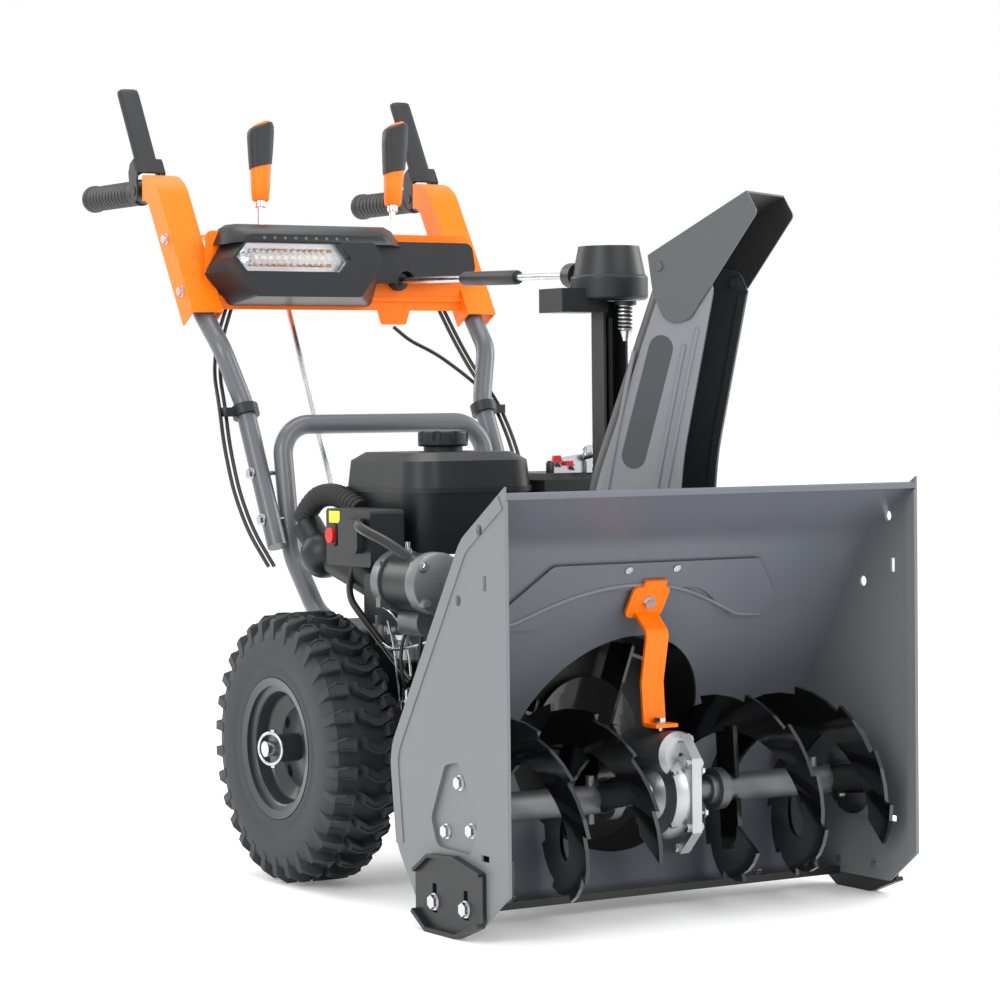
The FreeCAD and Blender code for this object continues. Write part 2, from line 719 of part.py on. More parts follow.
def tractor_frame():
    """The closed box between the wheels that carries the engine, with the axle's bores."""
    half = SIZES["frame_width"] / 2
    outline = [(330, 96, 12), (330, 205), (545, 205, 20), (575, 300, 20), (640, 316, 12), (640, 110, 20),
               (600, 96, 20)]
    shell = side_pad(outline, "frame_width", -half)
    inner = [(334, 100, 8), (334, 201), (548, 201, 16), (578, 296, 16), (636, 311, 8), (636, 114, 16),
             (598, 100, 16)]
    hollow = side_pad(inner, "frame_width - 6", -half + 3)
    bore = rod("axle_radius + running_fit", "frame_width + 40", at(-half - 20, SIZES["axle_back"], 165), X_WAY)
    bosses = [rod(24, 8, at(side * half, SIZES["axle_back"], 165), X_WAY * side) for side in (-1, 1)]
    neck = block(180, 42, 150, at(0, 311, 172))
    shaft_way = rod(40, 60, at(0, 280, 185), Y_WAY)
    return keep("tractor_frame", cut(fuse(cut(shell, hollow), neck, *bosses), bore, shaft_way))


def belt_cover():
    """The cover over the drive belts, between the drum and the engine."""
    outline = [(-105, 248, 10), (105, 248, 10), (96, 392, 60), (-96, 392, 60)]
    cover = front_pad(outline, 40, 344)
    hollow = front_pad([(-102, 240), (102, 240), (93, 388, 57), (-93, 388, 57)], 34, 341)
    return keep("belt_cover", cut(cover, hollow))


def wheel_axle():
    """The drive axle through the frame and both hubs, with the drive sprocket inside."""
    reach = SIZES["tyre_outside"] + 10
    shaft = rod("axle_radius", 2 * reach, at(-reach, SIZES["axle_back"], 165), X_WAY)
    sprocket = rod(32, 5, at(-40, SIZES["axle_back"], 165), X_WAY)
    return keep("wheel_axle", fuse(shaft, sprocket))


def wheels():
    """Tyres, pressed rims with deep dishes, and the click pins through the hubs."""
    outside = SIZES["tyre_outside"]
    centre = at(-outside, SIZES["axle_back"], SIZES["wheel_radius"])
    rim = turned([(9.6, 4), (17, 4), (17, 34), (50, 40, 6), (66, 30, 6), (68, 12, 4), (76, 10), (76, 5), (86, 3),
                  (86, 6.5), (79, 8), (79, 22), (71, 26, 5), (71, 66, 5), (79, 70), (79, 82), (86, 84), (86, 87),
                  (76, 85), (66, 62, 5), (60, 48, 8), (17, 46), (17, 90), (9.6, 90)], centre, X_WAY)
    angles = [k * math.pi / 2 + 0.7 for k in range(4)]
    vents = [rod(8, 40, centre + Vector(20, 42 * math.cos(angle), 42 * math.sin(angle)), X_WAY)
             for angle in angles]
    right_rim = keep("rim_right", cut(rim, *vents))
    keep("rim_left", mirrored(right_rim))
    tread = [(80, 9), (88, 3), (128, 0, 16), (152, 3, 8), (165, 16, 6), (165, 77, 6), (152, 90, 8), (128, 93, 16),
             (88, 90), (80, 84)]
    right_tyre = keep("tyre_right", turned(tread, centre, X_WAY))
    keep("tyre_left", mirrored(right_tyre))
    pins = []
    for side in (-1, 1):
        spot = at(side * (outside - 2), SIZES["axle_back"], SIZES["wheel_radius"])
        hub = rod(17, 20, at(side * (outside - 14), SIZES["axle_back"], 165), X_WAY * side)
        pin = rod(3.5, 46, spot + Vector(0, 0, -23))
        ring = add("Part::Torus", Radius1=19, Radius2=2)
        ring.Placement = Placement(spot + Vector(side * 4, 0, 0), Rotation(Z_WAY, Vector(1, 0.35, 0)))
        pins += [cut(pin, hub), cut(ring, hub)]
    keep("hub_pins", group(*pins))


# ---------------------------------------------------------------- engine

def engine_block():
    """The engine: crankcase, finned cylinder, valve cover, foot and starter bracket."""
    case = soften(block(196, 160, 150, at(8, 432, 280.2)), 14, along(Y_WAY))
    foot = block(170, 150, 12, at(0, 432, 211.2))
    barrel = block(60, 90, 100, at(122, 432, 300))
    fins = [block(4, 112, 124, at(102 + 11 * k, 432, 300)) for k in range(5)]
    cover = soften(block(24, 84, 74, at(159, 432, 300)), 8, along(X_WAY))
    bracket = block(52, 12, 70, at(-112, 362, 330))
    side = rod(62, 12, at(-88, 432, 290), X_WAY * -1)
    top = block(150, 120, 40, at(0, 440, 372))
    return keep("engine_block", fuse(case, foot, barrel, *fins, cover, bracket, side, top))


def muffler_guard():
    """The silencer in its slotted guard, over the cylinder."""
    can = soften(block(86, 120, 76, at(172, 420, 412)), 16, along(Y_WAY))
    outlet = rod(12, 26, at(206, 388, 412), X_WAY)
    pipe = rod(15, 14, at(146, 432, 362.2))
    return keep("muffler_guard", fuse(can, outlet, pipe))


HOSE_ROUTE = [at(-158, 526, 452), at(-160, 560, 466), at(-160, 604, 471), at(-160, 645, 462), at(-160, 670, 438)]


def intake_cover():
    """The heated box over the carburettor, its choke knob, and the duct to the hose's elbow."""
    box = soften(block(58, 92, 60, at(-132, 470, 345)), 8, along(X_WAY))
    knob = rod(12, 10, at(-160, 452, 352), X_WAY * -1)
    port = at(-132, 512, 352)
    boot = at(-152, 632, 394)
    duct = rod(18, (boot - port).Length, port, boot - port)
    bulb = add("Part::Sphere", Radius=30)
    bulb.Placement = Placement(boot, NO_TURN)
    stub = rod(19, 48, boot, HOSE_ROUTE[-1] - boot)
    return keep("intake_cover", fuse(box, knob, duct, bulb, stub))


TANK_OUTLINE = [(-90, -98, 36), (90, -98, 36), (90, 98, 36), (-90, 98, 36)]


def fuel_tank():
    """The fuel tank: a tapered tray, a seam flange all round, and a domed top."""
    centre = at(-63, 500, 0)
    seam = plan_pad(TANK_OUTLINE, 6, centre + Vector(0, 0, 474))
    slant = [(x * 0.985, y * 0.985, r) for x, y, r in TANK_OUTLINE]
    narrow = [(x * 0.9, y * 0.88, 32) for x, y, r in TANK_OUTLINE]
    tray = taper(narrow, slant, 400, 475, centre)
    shoulder = [(x * 0.95, y * 0.94, 34) for x, y, r in TANK_OUTLINE]
    dome = taper(slant, shoulder, 479, 512, centre)
    crown = taper(shoulder, [(x * 0.8, y * 0.78, 30) for x, y, r in TANK_OUTLINE], 512, 522, centre)
    filler = rod(24, 8, at(-50, 510, 520))
    return keep("fuel_tank", fuse(tray, seam, dome, crown, filler))


def taper(low, high, low_z, high_z, centre):
    """A solid between two outlines at two heights."""
    made = doc.addObject("Part::Loft", "Loft")
    made.Sections = [level(low, centre + Vector(0, 0, low_z)), level(high, centre + Vector(0, 0, high_z))]
    made.Solid = True
    made.Ruled = True
    return made


def level(points, centre, turn=NO_TURN):
    """An outline laid flat as a section of a loft."""
    wire = Part.Wire([edge.toShape() for edge in rounded(points)])
    made = doc.addObject("Part::Feature", "Section")
    made.Shape = wire
    made.Placement = Placement(centre, turn)
    return made


def fuel_cap():
    """The lobed filler cap."""
    start = at(-50, 510, 528.2)
    disc = soften(rod(31, 19, start), 3, round_rim)
    angles = [k * math.pi / 4 for k in range(8)]
    notches = [rod(7, 16, start + Vector(35 * math.cos(angle), 35 * math.sin(angle), 6)) for angle in angles]
    return keep("fuel_cap", cut(disc, *notches))


def recoil_cover():
    """The domed cover of the recoil starter at the engine's rear."""
    dish = turned([(0, 0), (90, 0), (90, 16, 8), (64, 36, 10), (0, 36)], at(4, 512.2, 306), Y_WAY)
    slots = [rod(5, 12, at(4 + 50 * math.cos(k * math.pi / 6), 542, 306 + 50 * math.sin(k * math.pi / 6)), Y_WAY)
             for k in range(12)]
    return keep("recoil_cover", cut(dish, *slots))


def starter_motor():
    """The electric starter beside the engine, with its gear nose, end cap and solenoid."""
    start = at(-186, 292, 373)
    body = rod(34, 84, start + Vector(0, 24, 0), Y_WAY)
    cap = soften(rod(36, 26, start, Y_WAY), 5, round_rim)
    nose = cone(34, 28, 9.4, start + Vector(0, 108, 0), Y_WAY)
    flange = block(70, 9.8, 60, start + Vector(36, 59, -6))
    terminal = rod(6, 18, start + Vector(-8, 60, 32))
    return keep("starter_motor", fuse(body, cap, nose, flange, terminal))


def switch_box():
    """The electric start box with its mains inlet and button surround."""
    box = soften(block(46, 108, 68, at(-188, 464, 422)), 5, along(X_WAY))
    inlet = soften(block(12, 46, 40, at(-216, 446, 424)), 8, along(X_WAY))
    surround = rod(13, 4, at(-211, 497, 424), X_WAY * -1)
    button_bore = rod(9.5, 22, at(-198, 497, 424), X_WAY * -1)
    bracket = block(40, 30, 6, at(-150, 440, 396))
    return keep("switch_box", cut(fuse(box, inlet, surround, bracket), button_bore))


def start_button():
    return keep("start_button", rod(9.3, 13, at(-206.2, 497, 424), X_WAY * -1))


def heater_hose():
    """The corrugated warm air hose that arches behind the switch box."""
    return keep("heater_hose", cord(HOSE_ROUTE, "hose_radius"))


# ---------------------------------------------------------------- handles and console

def lower_handle():
    """The arched tube bolted to the frame, with its cross bar behind the engine."""
    half = [(at(-153, 590, 300), 0), (at(-153, 652, 322), 70), (at(-153, 716, 392), 70), (at(-150, 748, 556), 42)]
    route = half + [(Vector(-point.x, point.y, point.z), bend) for point, bend in half[::-1]]
    plates = [block(8, 46, 30, at(side * 153, 600, 296)) for side in (-1, 1)]
    tube = fuse(sweep(route, "tube_radius"), *plates)
    return keep("lower_handle", tube)


def handle_route(side):
    """The upper tube's route on one side, from its foot to the end of the grip."""
    spread = SIZES["grip_spread"]
    high = SIZES["grip_height"]
    return [(at(side * 180, 704, 402), 0), (at(side * 180, 792, 584), 90), (at(side * 200, 812, 655), 50),
            (at(side * 205, 860, 705), 60), (at(side * spread, 955, high), 50), (at(side * spread, 1172, high), 0)]


def upper_handles():
    right = keep("upper_handle_right", sweep(handle_route(-1), "tube_radius"))
    keep("upper_handle_left", mirrored(right))


def handle_bolts():
    """Bolts that clamp the upper tubes to the lower ones, and the arms to the upper tubes."""
    made = []
    for side in (-1, 1):
        out = X_WAY * side
        for y, z in ((720, 436), (748, 494)):
            made.append(bolt(at(side * 192, y, z), out, head=6.5, length=50))
        made.append(bolt(at(side * 230, 908, 800), out, head=6, length=6))
        made.append(bolt(at(side * 230, 864, 730), out, head=6, length=6))
    return keep("handle_bolts", group(*made))


def cable_clamps():
    """A clamp round each upper tube that carries the cables."""
    made = []
    way = Vector(0, 0.43, 0.9)
    for side in (-1, 1):
        spot = at(side * 180, 784, 567)
        ring = rod(17.5, 14, spot, way)
        eye = block(18, 12, 12, spot + Vector(side * 22, 4, 6))
        made.append(cut(fuse(ring, eye), rod(12.5, 40, spot - way * 12, way)))
    return keep("cable_clamps", group(*made))


def arm(side):
    """The folded arm that runs from the console panel's end up to the grip."""
    front = [(980, 888), (946, 888, 55), (834, 703)]
    outer = side_pad(band(front, 34), 44, side * 208 - 22)
    inner_front = [(1000, 886), (947.4, 886, 53), (811, 661)]
    inner = side_pad(band(inner_front, 50), 40, side * 208 - 20)
    return cut(outer, inner)


def console_panel():
    """The console's front sheet and slotted deck, between its two folded arms."""
    half = SIZES["panel_width"] / 2
    sheet = front_pad([(-half, 707, 4), (56, 707), (62, 688, 4), (100, 688, 4), (106, 707), (half, 707, 4),
                       (half, 809, 10), (-half, 809, 10)], 2, 857)
    rib = block("panel_width - 8", 3, 6, at(0, 853.6, 722))
    deck = block("panel_width - 30", 122, 2, at(0, 916, 804))
    slots = [block(14, 74, 20, at(-112, 898, 804)), block(14, 80, 20, at(104, 928, 804))]
    hole = rod(12, 60, at(87, 840, 747.5), Y_WAY)
    return keep("console_panel", cut(fuse(sheet, rib, deck, arm(-1), arm(1)), hole, *slots))


def console_cover():
    """The black moulding on the console: the headlight's hexagonal hood and a slimmer tail."""
    hood_back = [(-204, 752), (-176, 798, 8), (70, 798), (44, 712, 10), (-168, 712, 10)]
    hood_front = [(-190, 772), (-170, 794, 6), (20, 794, 6), (34, 766), (0, 722, 8), (-156, 722, 8)]
    hood = front_taper(hood_back, hood_front, 852, 798)
    tail_back = [(30, 742), (30, 798), (190, 798, 12), (197, 756, 12), (120, 744)]
    tail = front_pad(tail_back, 22, 852)
    window = front_pad([(-184, 773), (-168, 793), (-32, 793), (-16, 773), (-32, 754), (-168, 754)], 30, 816)
    room = rod(12, 80, at(87, 800, 747), Y_WAY)
    return keep("console_cover", cut(fuse(hood, tail), window, room))


def front_taper(back_outline, front_outline, back, front):
    """A solid between an outline at the back and one at the front."""
    upright = Rotation(X_WAY, 90)
    made = doc.addObject("Part::Loft", "Loft")
    made.Sections = [level(back_outline, at(0, back, 0), upright), level(front_outline, at(0, front, 0), upright)]
    made.Solid = True
    made.Ruled = True
    return made


def headlight():
    """The lamp board with its rows of diodes, behind a clear lens."""
    board_edge = [(-182, 773), (-167, 791.5), (-33, 791.5), (-18, 773), (-33, 755.5), (-167, 755.5)]
    lens_edge = [(-183, 773), (-167.6, 792.5), (-32.4, 792.5), (-17, 773), (-32.4, 754.5), (-167.6, 754.5)]
    board = front_pad(board_edge, 4, 815.9)
    diodes = [cone(3.5, 2, 4, at(-158 + 9 * k, 812, z), Y_WAY * -1) for k in range(13) for z in (765, 781)]
    keep("headlight_lamps", fuse(board, *diodes))
    keep("headlight_lens", front_pad(lens_edge, 3, 806))


def grips():
    """Ribbed rubber grips over the tube ends, each with the paddle's hinge ring in front."""
    spread = SIZES["grip_spread"]
    start = at(-spread, 1018, SIZES["grip_height"])
    profile = [(12.55, 0), (17.8, 0, 2), (17.8, 6), (17, 10), (17, 140), (18.5, 146), (18.5, 154, 4),
               (16, 158), (0, 158), (0, 154.5), (12.55, 154.5)]
    grip = turned(profile, start, Y_WAY)
    grooves = []
    for k in range(12):
        place = start + Y_WAY * (20 + 10 * k)
        grooves.append(cut(rod(22, 2, place, Y_WAY), rod(16, 2, place, Y_WAY)))
    hinge = cut(rod(16, 18, start - Y_WAY * 27, Y_WAY), rod(12.55, 40, start - Y_WAY * 40, Y_WAY))
    right = keep("grip_right", group(cut(grip, *grooves), hinge))
    keep("grip_left", mirrored(right))


PADDLE_PIVOT = (1000, 868)
PADDLE_RAISED = 61


def paddles():
    """The squeeze paddles: channels that stand above the grips and close over them."""
    spread = SIZES["grip_spread"]
    ear = [(16, 22), (38, 22), (38, 8), (30, -2), (12, -10, 8), (-12, -10, 8), (-12, 10, 8), (8, 14)]
    ears = pad("YZ_Plane", ear, 42, Vector(-21, 0, 0))
    room = [(-40, 19.5), (170, 19.5), (170, -30), (-40, -30)]
    bar = pad("YZ_Plane", [(18, 22), (150, 22, 4), (150, 12.8, 3), (18, 12.8)], 31, Vector(-15.5, 0, 0))
    sides = [cut(ears, pad("YZ_Plane", room, 37.4, Vector(-18.7, 0, 0))),
             cut(bar, pad("YZ_Plane", room, 27, Vector(-13.5, 0, 0)))]
    pins = [rod(6, 4, Vector(side * 21, 0, 0), X_WAY * side) for side in (-1, 1)]
    paddle = fuse(*sides, *pins)
    paddle.Placement = Placement(at(-spread, *PADDLE_PIVOT), Rotation(X_WAY, PADDLE_RAISED))
    keep("paddle_right", paddle)
    keep("paddle_left", mirrored(paddle))


def lever(label, foot, neck, tip, *linkage):
    """A console lever: a bent rod from its pivot, and a knob that widens to a slanted top."""
    stem = sweep([(foot, 0), (Vector(foot.x, foot.y, 815), 30), (neck, 0)], 4)
    eye = rod(8, 10, foot - X_WAY * 3, X_WAY)
    collar = rod(7, 8, neck - (tip - neck).normalize() * 8, tip - neck)
    bar = fuse(stem, eye, collar, *linkage)
    keep(label + "_rod", bar)
    way = tip - neck
    turn = Rotation(Z_WAY, way)
    knob = doc.addObject("Part::Loft", "Loft")
    low = [(-9, -8, 4), (9, -8, 4), (9, 8, 4), (-9, 8, 4)]
    high = [(-15, -12, 8), (15, -12, 8), (15, 12, 8), (-15, 12, 8)]
    knob.Sections = [level(low, neck, turn), level(high, neck + way, turn)]
    knob.Solid = True
    knob.Ruled = True
    slant = block(60, 60, 30, neck + way + Vector(-14, 0, 12), turn.multiply(Rotation(Y_WAY, -32)))
    keep(label + "_knob", cut(knob, slant))


def levers():
    """The speed lever and the deflector lever, with the arms that their rod and cable hang on."""
    cross_shaft = rod(5, 42, at(-114, 868, 735), X_WAY)
    crank = block(4, 36, 10, at(-74, 882, 734))
    lever("speed_lever", at(-112, 868, 735), at(-109, 874, 850), at(-98, 892, 958), cross_shaft, crank)
    lever("deflector_lever", at(104, 898, 735), at(109, 903, 851), at(126, 922, 968))


SHIFT_TOP = at(-64, 896, 733)


def shift_rod():
    """The straight link from the speed lever's crank down to the gear shift behind the engine."""
    low = at(-80, 688, 366)
    bar = rod(3.5, (SHIFT_TOP - low).Length, low, SHIFT_TOP - low)
    eye = rod(7, 8, SHIFT_TOP - X_WAY * 4, X_WAY)
    fork = rod(6, 14, low - X_WAY * 7, X_WAY)
    return keep("shift_rod", fuse(bar, eye, fork))


def bundled_cable(side, aside):
    """A cable from under the console down the outside of an upper tube, beside its neighbours."""
    reaches = [158, 176, 192, 203, 211, 212, 206, 192]
    backs = [866, 858, 836, 800, 772, 744, 716, 690]
    heights = [709, 668, 622, 582, 530, 470, 420, 378]
    points = [at(side * (reach + aside), back, height) for reach, back, height in zip(reaches, backs, heights)]
    return cord(points, "cable_radius")


def control_cables():
    """The drive and auger cables on both sides, and the deflector's cable beside the left pair."""
    deflector_line = [at(81, 856, 685), at(102, 851, 667), at(139, 840, 648), at(172, 828, 622),
                      at(192.5, 812.5, 600), at(198, 790, 573)]
    made = [bundled_cable(side, aside) for side in (-1, 1) for aside in (0, 8)]
    return keep("control_cables", group(*made, cord(deflector_line, "cable_radius")))


make_sheet()
auger_housing()
right_plate = keep("side_plate_right", side_plate())
keep("side_plate_left", mirrored(right_plate))
impeller_drum()
chute_collar()
scraper_bar()
right_shoe = keep("skid_shoe_right", skid_shoe())
keep("skid_shoe_left", mirrored(right_shoe))
housing_bolts()
auger_bearings()
gearbox()
gearbox_brace()
auger_shaft()
auger_flights()
impeller()
chute()
deflector()
chute_post()
chute_gear_head()
chute_crank()
tractor_frame()
belt_cover()
wheel_axle()
wheels()
engine_block()
muffler_guard()
intake_cover()
fuel_tank()
fuel_cap()
recoil_cover()
starter_motor()
switch_box()
start_button()
heater_hose()
lower_handle()
upper_handles()
handle_bolts()
cable_clamps()
console_panel()
console_cover()
headlight()
grips()
paddles()
levers()
shift_rod()
control_cables()
doc.recompute()

for item in doc.Objects:
    if "Invalid" in item.State or "Error" in item.State:
        raise RuntimeError(f"{item.Name} ({item.Label}) failed: {item.State}")
for node in nodes:
    if node.Shape.isNull() or not node.Shape.isValid():
        raise RuntimeError(f"{node.Label} has no valid shape")

os.makedirs("parts", exist_ok=True)
for node in nodes:
    node.Shape.exportStep(f"parts/{node.Label}.step")
whole = Part.Compound([node.Shape for node in nodes]).BoundBox
print(len(nodes), "sub-parts, box", [round(value, 1) for value in
      (whole.XMin, whole.XMax, whole.YMin, whole.YMax, whole.ZMin, whole.ZMax)])
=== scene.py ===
# %% [markdown]
# # A two stage snowblower
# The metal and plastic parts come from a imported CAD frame. This lesson gives each one its finish
# and adds what a frame leaves plain: tyre lugs, ribs, hoses, springs, diodes and wiring. A piece
# either keeps its CAD mesh and gets a material, or stands in for it. Units are metres: X runs
# across the machine, Y from the auger's mouth back to the grips, and Z up from the ground.

# %% Load the frame
import bpy
import bmesh
import math
from mathutils import Matrix, Vector, bvhtree


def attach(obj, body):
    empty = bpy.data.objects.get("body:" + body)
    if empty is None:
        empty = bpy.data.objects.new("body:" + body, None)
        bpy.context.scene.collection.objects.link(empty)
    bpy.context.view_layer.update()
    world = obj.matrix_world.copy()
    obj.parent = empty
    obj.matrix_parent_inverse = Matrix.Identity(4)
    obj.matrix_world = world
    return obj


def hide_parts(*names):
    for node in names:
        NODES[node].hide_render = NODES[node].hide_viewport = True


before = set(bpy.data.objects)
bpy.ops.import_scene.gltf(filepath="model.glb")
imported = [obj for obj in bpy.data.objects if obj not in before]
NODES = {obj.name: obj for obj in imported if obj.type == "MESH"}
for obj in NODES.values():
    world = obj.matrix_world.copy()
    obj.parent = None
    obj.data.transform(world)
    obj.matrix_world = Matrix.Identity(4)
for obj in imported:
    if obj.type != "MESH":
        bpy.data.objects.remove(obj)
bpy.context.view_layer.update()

# %% [markdown]
# ## Where the main parts are
# Every place below is set from the machine's own dimensions, so a piece lands where the CAD says.
# `spot` takes millimetres as a maker would measure them, back from the front edge of the auger
# housing. The chute stands turned 30 degrees to the operator's right, and its details are placed
# along its own forward and sideways directions.

# %% Places and sizes
MM = 0.001
FRONT = 588
SHARP_EDGE = math.radians(35)


def spot(x, back, z):
    """A point from millimetres: across, behind the housing's front edge, and above the ground."""
    return Vector((x, back - FRONT, z)) * MM


X_WAY = Vector((1, 0, 0))
Y_WAY = Vector((0, 1, 0))
Z_WAY = Vector((0, 0, 1))
AUGER_CENTRE = spot(0, 114, 135)
CHUTE_CENTRE = spot(10, 180, 0)
CHUTE_YAW = math.radians(30)
CHUTE_FORWARD = Vector((math.sin(CHUTE_YAW), -math.cos(CHUTE_YAW), 0))
CHUTE_RIGHT = Vector((-math.cos(CHUTE_YAW), -math.sin(CHUTE_YAW), 0))

# %% [markdown]
# ## A camera at standing height, with a long lens
# The machine is seen from its right front corner. A long lens keeps the housing's edges nearly
# parallel, as a product view does.

# %% Camera
CAMERA_PLACE = Vector((-2.022, -3.379, 0.580))
CAMERA_TURN = math.radians(31.89)
CAMERA_DIP = math.radians(1.77)
CAMERA_ROLL = math.radians(-0.6)

camera = bpy.data.objects.new("camera", bpy.data.cameras.new("camera"))
bpy.context.collection.objects.link(camera)
camera.data.lens = 112.2
camera.data.sensor_width = 36
level = Vector((math.sin(CAMERA_TURN), math.cos(CAMERA_TURN), 0))
aim = level * math.cos(CAMERA_DIP) + Vector((0, 0, -math.sin(CAMERA_DIP)))
camera.matrix_world = (Matrix.Translation(CAMERA_PLACE) @ aim.to_track_quat("-Z", "Y").to_matrix().to_4x4()
                       @ Matrix.Rotation(CAMERA_ROLL, 4, "Z"))
bpy.context.scene.camera = camera
bpy.context.scene.view_settings.view_transform = "Standard"
print("camera at", CAMERA_PLACE)

# %% [markdown]
# ## A pale floor and soft light
# One large plane is the floor, and it glows faintly so that it meets the white background without a
# line. Wide lights in front, at each side, above and behind give black plastic and gloss paint
# something large and pale to reflect.

# %% Floor and lights
floor_mesh = bpy.data.meshes.new("floor")
floor_mesh.from_pydata([(-30, -30, 0), (30, -30, 0), (30, 30, 0), (-30, 30, 0)], [], [(0, 1, 2, 3)])
floor = bpy.data.objects.new("floor", floor_mesh)
bpy.context.collection.objects.link(floor)


def area_light(name, place, target, size, power):
    """A square soft light at a place, turned towards a target."""
    data = bpy.data.lights.new(name, "AREA")
    data.size = size
    data.energy = power
    lamp = bpy.data.objects.new(name, data)
    bpy.context.collection.objects.link(lamp)
    way = Vector(target) - Vector(place)
    lamp.matrix_world = Matrix.Translation(place) @ way.to_track_quat("-Z", "Y").to_matrix().to_4x4()


HEART = Vector((0, -0.2, 0.45))
area_light("key", (-3.4, -1.6, 2.3), HEART, 1.8, 62)
area_light("front", (0.6, -4.2, 2.6), HEART, 2.4, 62)
area_light("left side", (3.4, -0.6, 1.8), HEART, 1.8, 55)
area_light("top", (0, 0.6, 3.6), HEART, 2.6, 60)
area_light("behind", (-1.4, 3.6, 2.2), HEART, 2.0, 45)

world = bpy.data.worlds.new("studio")
bpy.context.scene.world = world
world.use_nodes = True
world.node_tree.nodes["Background"].inputs["Color"].default_value = (1, 1, 1, 1)
world.node_tree.nodes["Background"].inputs["Strength"].default_value = 1.0
print("lights:", len(bpy.data.lights))

# %% [markdown]
# ## Colour values and one helper for nodes
# Paint charts and plastics give colours as sRGB hex, but a shader wants linear light, so one
# function turns one into the other. A second adds any node with its settings, values and links.

# %% Colour and node helpers
def linear(code, alpha=1.0):
    """The linear colour of an sRGB hex code such as 'ff8600'."""
    shares = [int(code[at:at + 2], 16) / 255 for at in (0, 2, 4)]
    light = [share / 12.92 if share <= 0.04045 else ((share + 0.055) / 1.055) ** 2.4 for share in shares]
    return (*light, alpha)


def add_node(tree, kind, settings=None, inputs=None):
    """A node with its settings, and each input given a value or a link from another socket."""
    node = tree.nodes.new(kind)
    for name, value in (settings or {}).items():
        setattr(node, name, value)
    for name, value in (inputs or {}).items():
        if isinstance(value, bpy.types.NodeSocket):
            tree.links.new(value, node.inputs[name])
        else:
            node.inputs[name].default_value = value
    return node


def finish(name, colour, roughness, metallic=0.0, grain_mm=0.6, bump=0.15, blotch_mm=90, blotch=0.08,
           uneven=0.06, **extra):
    """A finish with slow colour drift, uneven gloss and a fine grain, all at real sizes."""
    material = bpy.data.materials.new(name)
    material.use_nodes = True
    tree = material.node_tree
    shader = tree.nodes["Principled BSDF"]
    shader.inputs["Metallic"].default_value = metallic
    for socket, value in extra.items():
        shader.inputs[socket.replace("_", " ")].default_value = value
    place = add_node(tree, "ShaderNodeTexCoord").outputs["Object"]
    drift = add_node(tree, "ShaderNodeTexNoise", None,
                     {"Vector": place, "Scale": 1 / (blotch_mm * MM), "Detail": 3.0})
    darker = tuple(share * (1 - blotch) for share in linear(colour)[:3]) + (1,)
    lighter = tuple(min(share * (1 + blotch), 1) for share in linear(colour)[:3]) + (1,)
    tone = add_node(tree, "ShaderNodeMix", {"data_type": "RGBA"},
                    {"Factor": drift.outputs["Fac"], "A": darker, "B": lighter})
    tree.links.new(tone.outputs["Result"], shader.inputs["Base Color"])
    grain = add_node(tree, "ShaderNodeTexNoise", None,
                     {"Vector": place, "Scale": 1 / (grain_mm * MM), "Detail": 2.0})
    gloss = add_node(tree, "ShaderNodeMapRange", None,
                     {"Value": drift.outputs["Fac"], "To Min": roughness - uneven,
                      "To Max": roughness + uneven})
    tree.links.new(gloss.outputs["Result"], shader.inputs["Roughness"])
    relief = add_node(tree, "ShaderNodeBump", None,
                      {"Height": grain.outputs["Fac"], "Strength": bump, "Distance": 0.0004})
    tree.links.new(relief.outputs["Normal"], shader.inputs["Normal"])
    return material


# %% [markdown]
# ## Finishes, one for each real material
# Powder coat is sprayed dry and baked, which leaves a faint orange-peel texture and a satin gloss.
# The augers are dipped in enamel, so they have long sharp highlights. Zinc plating is a thin metal
# skin with a soft blur, and castings are rougher and greyer. Mouldings of ABS and polypropylene carry
# the fine spark-eroded grain of their mould, which takes the shine off them. Rubber is nearly matt.
# Grain that is too fine to show is drawn at about a millimetre.

# %% Paints
PAINT = {
    "floor": finish("studio floor", "f4f4f4", 0.6, blotch=0.0, bump=0.0),
    "plate": finish("grey powder coat, plates", "6c6e71", 0.42, grain_mm=0.9, bump=0.12, blotch=0.04),
    # The housing's back panel has the side plates' grey powder coat; this darker copy of it is painted shade
    # for the sheet deep inside the housing.
    "panel": finish("grey powder coat, panel, darkened as painted shade", "5f636b", 0.40, grain_mm=0.9, bump=0.12, blotch=0.05),
    "orange": finish("orange powder coat", "ff7500", 0.42, grain_mm=0.9, bump=0.10, blotch=0.03,
                     Specular_IOR_Level=0.3),
    "enamel": finish("black dipped enamel", "0b0b0c", 0.12, grain_mm=6, bump=0.10, blotch=0.2,
                     uneven=0.05, Coat_Weight=0.6),
    "tube": finish("grey powder coat, tubes", "56585d", 0.36, grain_mm=0.9, bump=0.10, blotch=0.04,
                   Coat_Weight=0.2),
    "rim": finish("dark powder coat, rims", "2c2d2f", 0.38, grain_mm=0.9, bump=0.15, Coat_Weight=0.2),
    "black": finish("black powder coat", "1b1b1c", 0.40, grain_mm=0.9, bump=0.15),
    "heat": finish("heat resistant black", "2a2a2b", 0.55, grain_mm=0.7, bump=0.3),
}
METAL = {
    "zinc": finish("zinc plated steel", "c6c8cb", 0.26, 1.0, grain_mm=1.5, bump=0.12, blotch_mm=25,
                   blotch=0.12, uneven=0.1),
    "cast": finish("cast aluminium", "b9bbbd", 0.38, 1.0, grain_mm=1.6, bump=0.5, blotch_mm=30,
                   blotch=0.18, uneven=0.12),
    "block": finish("cast engine alloy", "77787a", 0.48, 0.9, grain_mm=1.4, bump=0.5, blotch_mm=30,
                    blotch=0.2),
    "bright": finish("reflector chrome", "e8e8ec", 0.12, 1.0, grain_mm=2, bump=0.02, blotch=0.02),
}
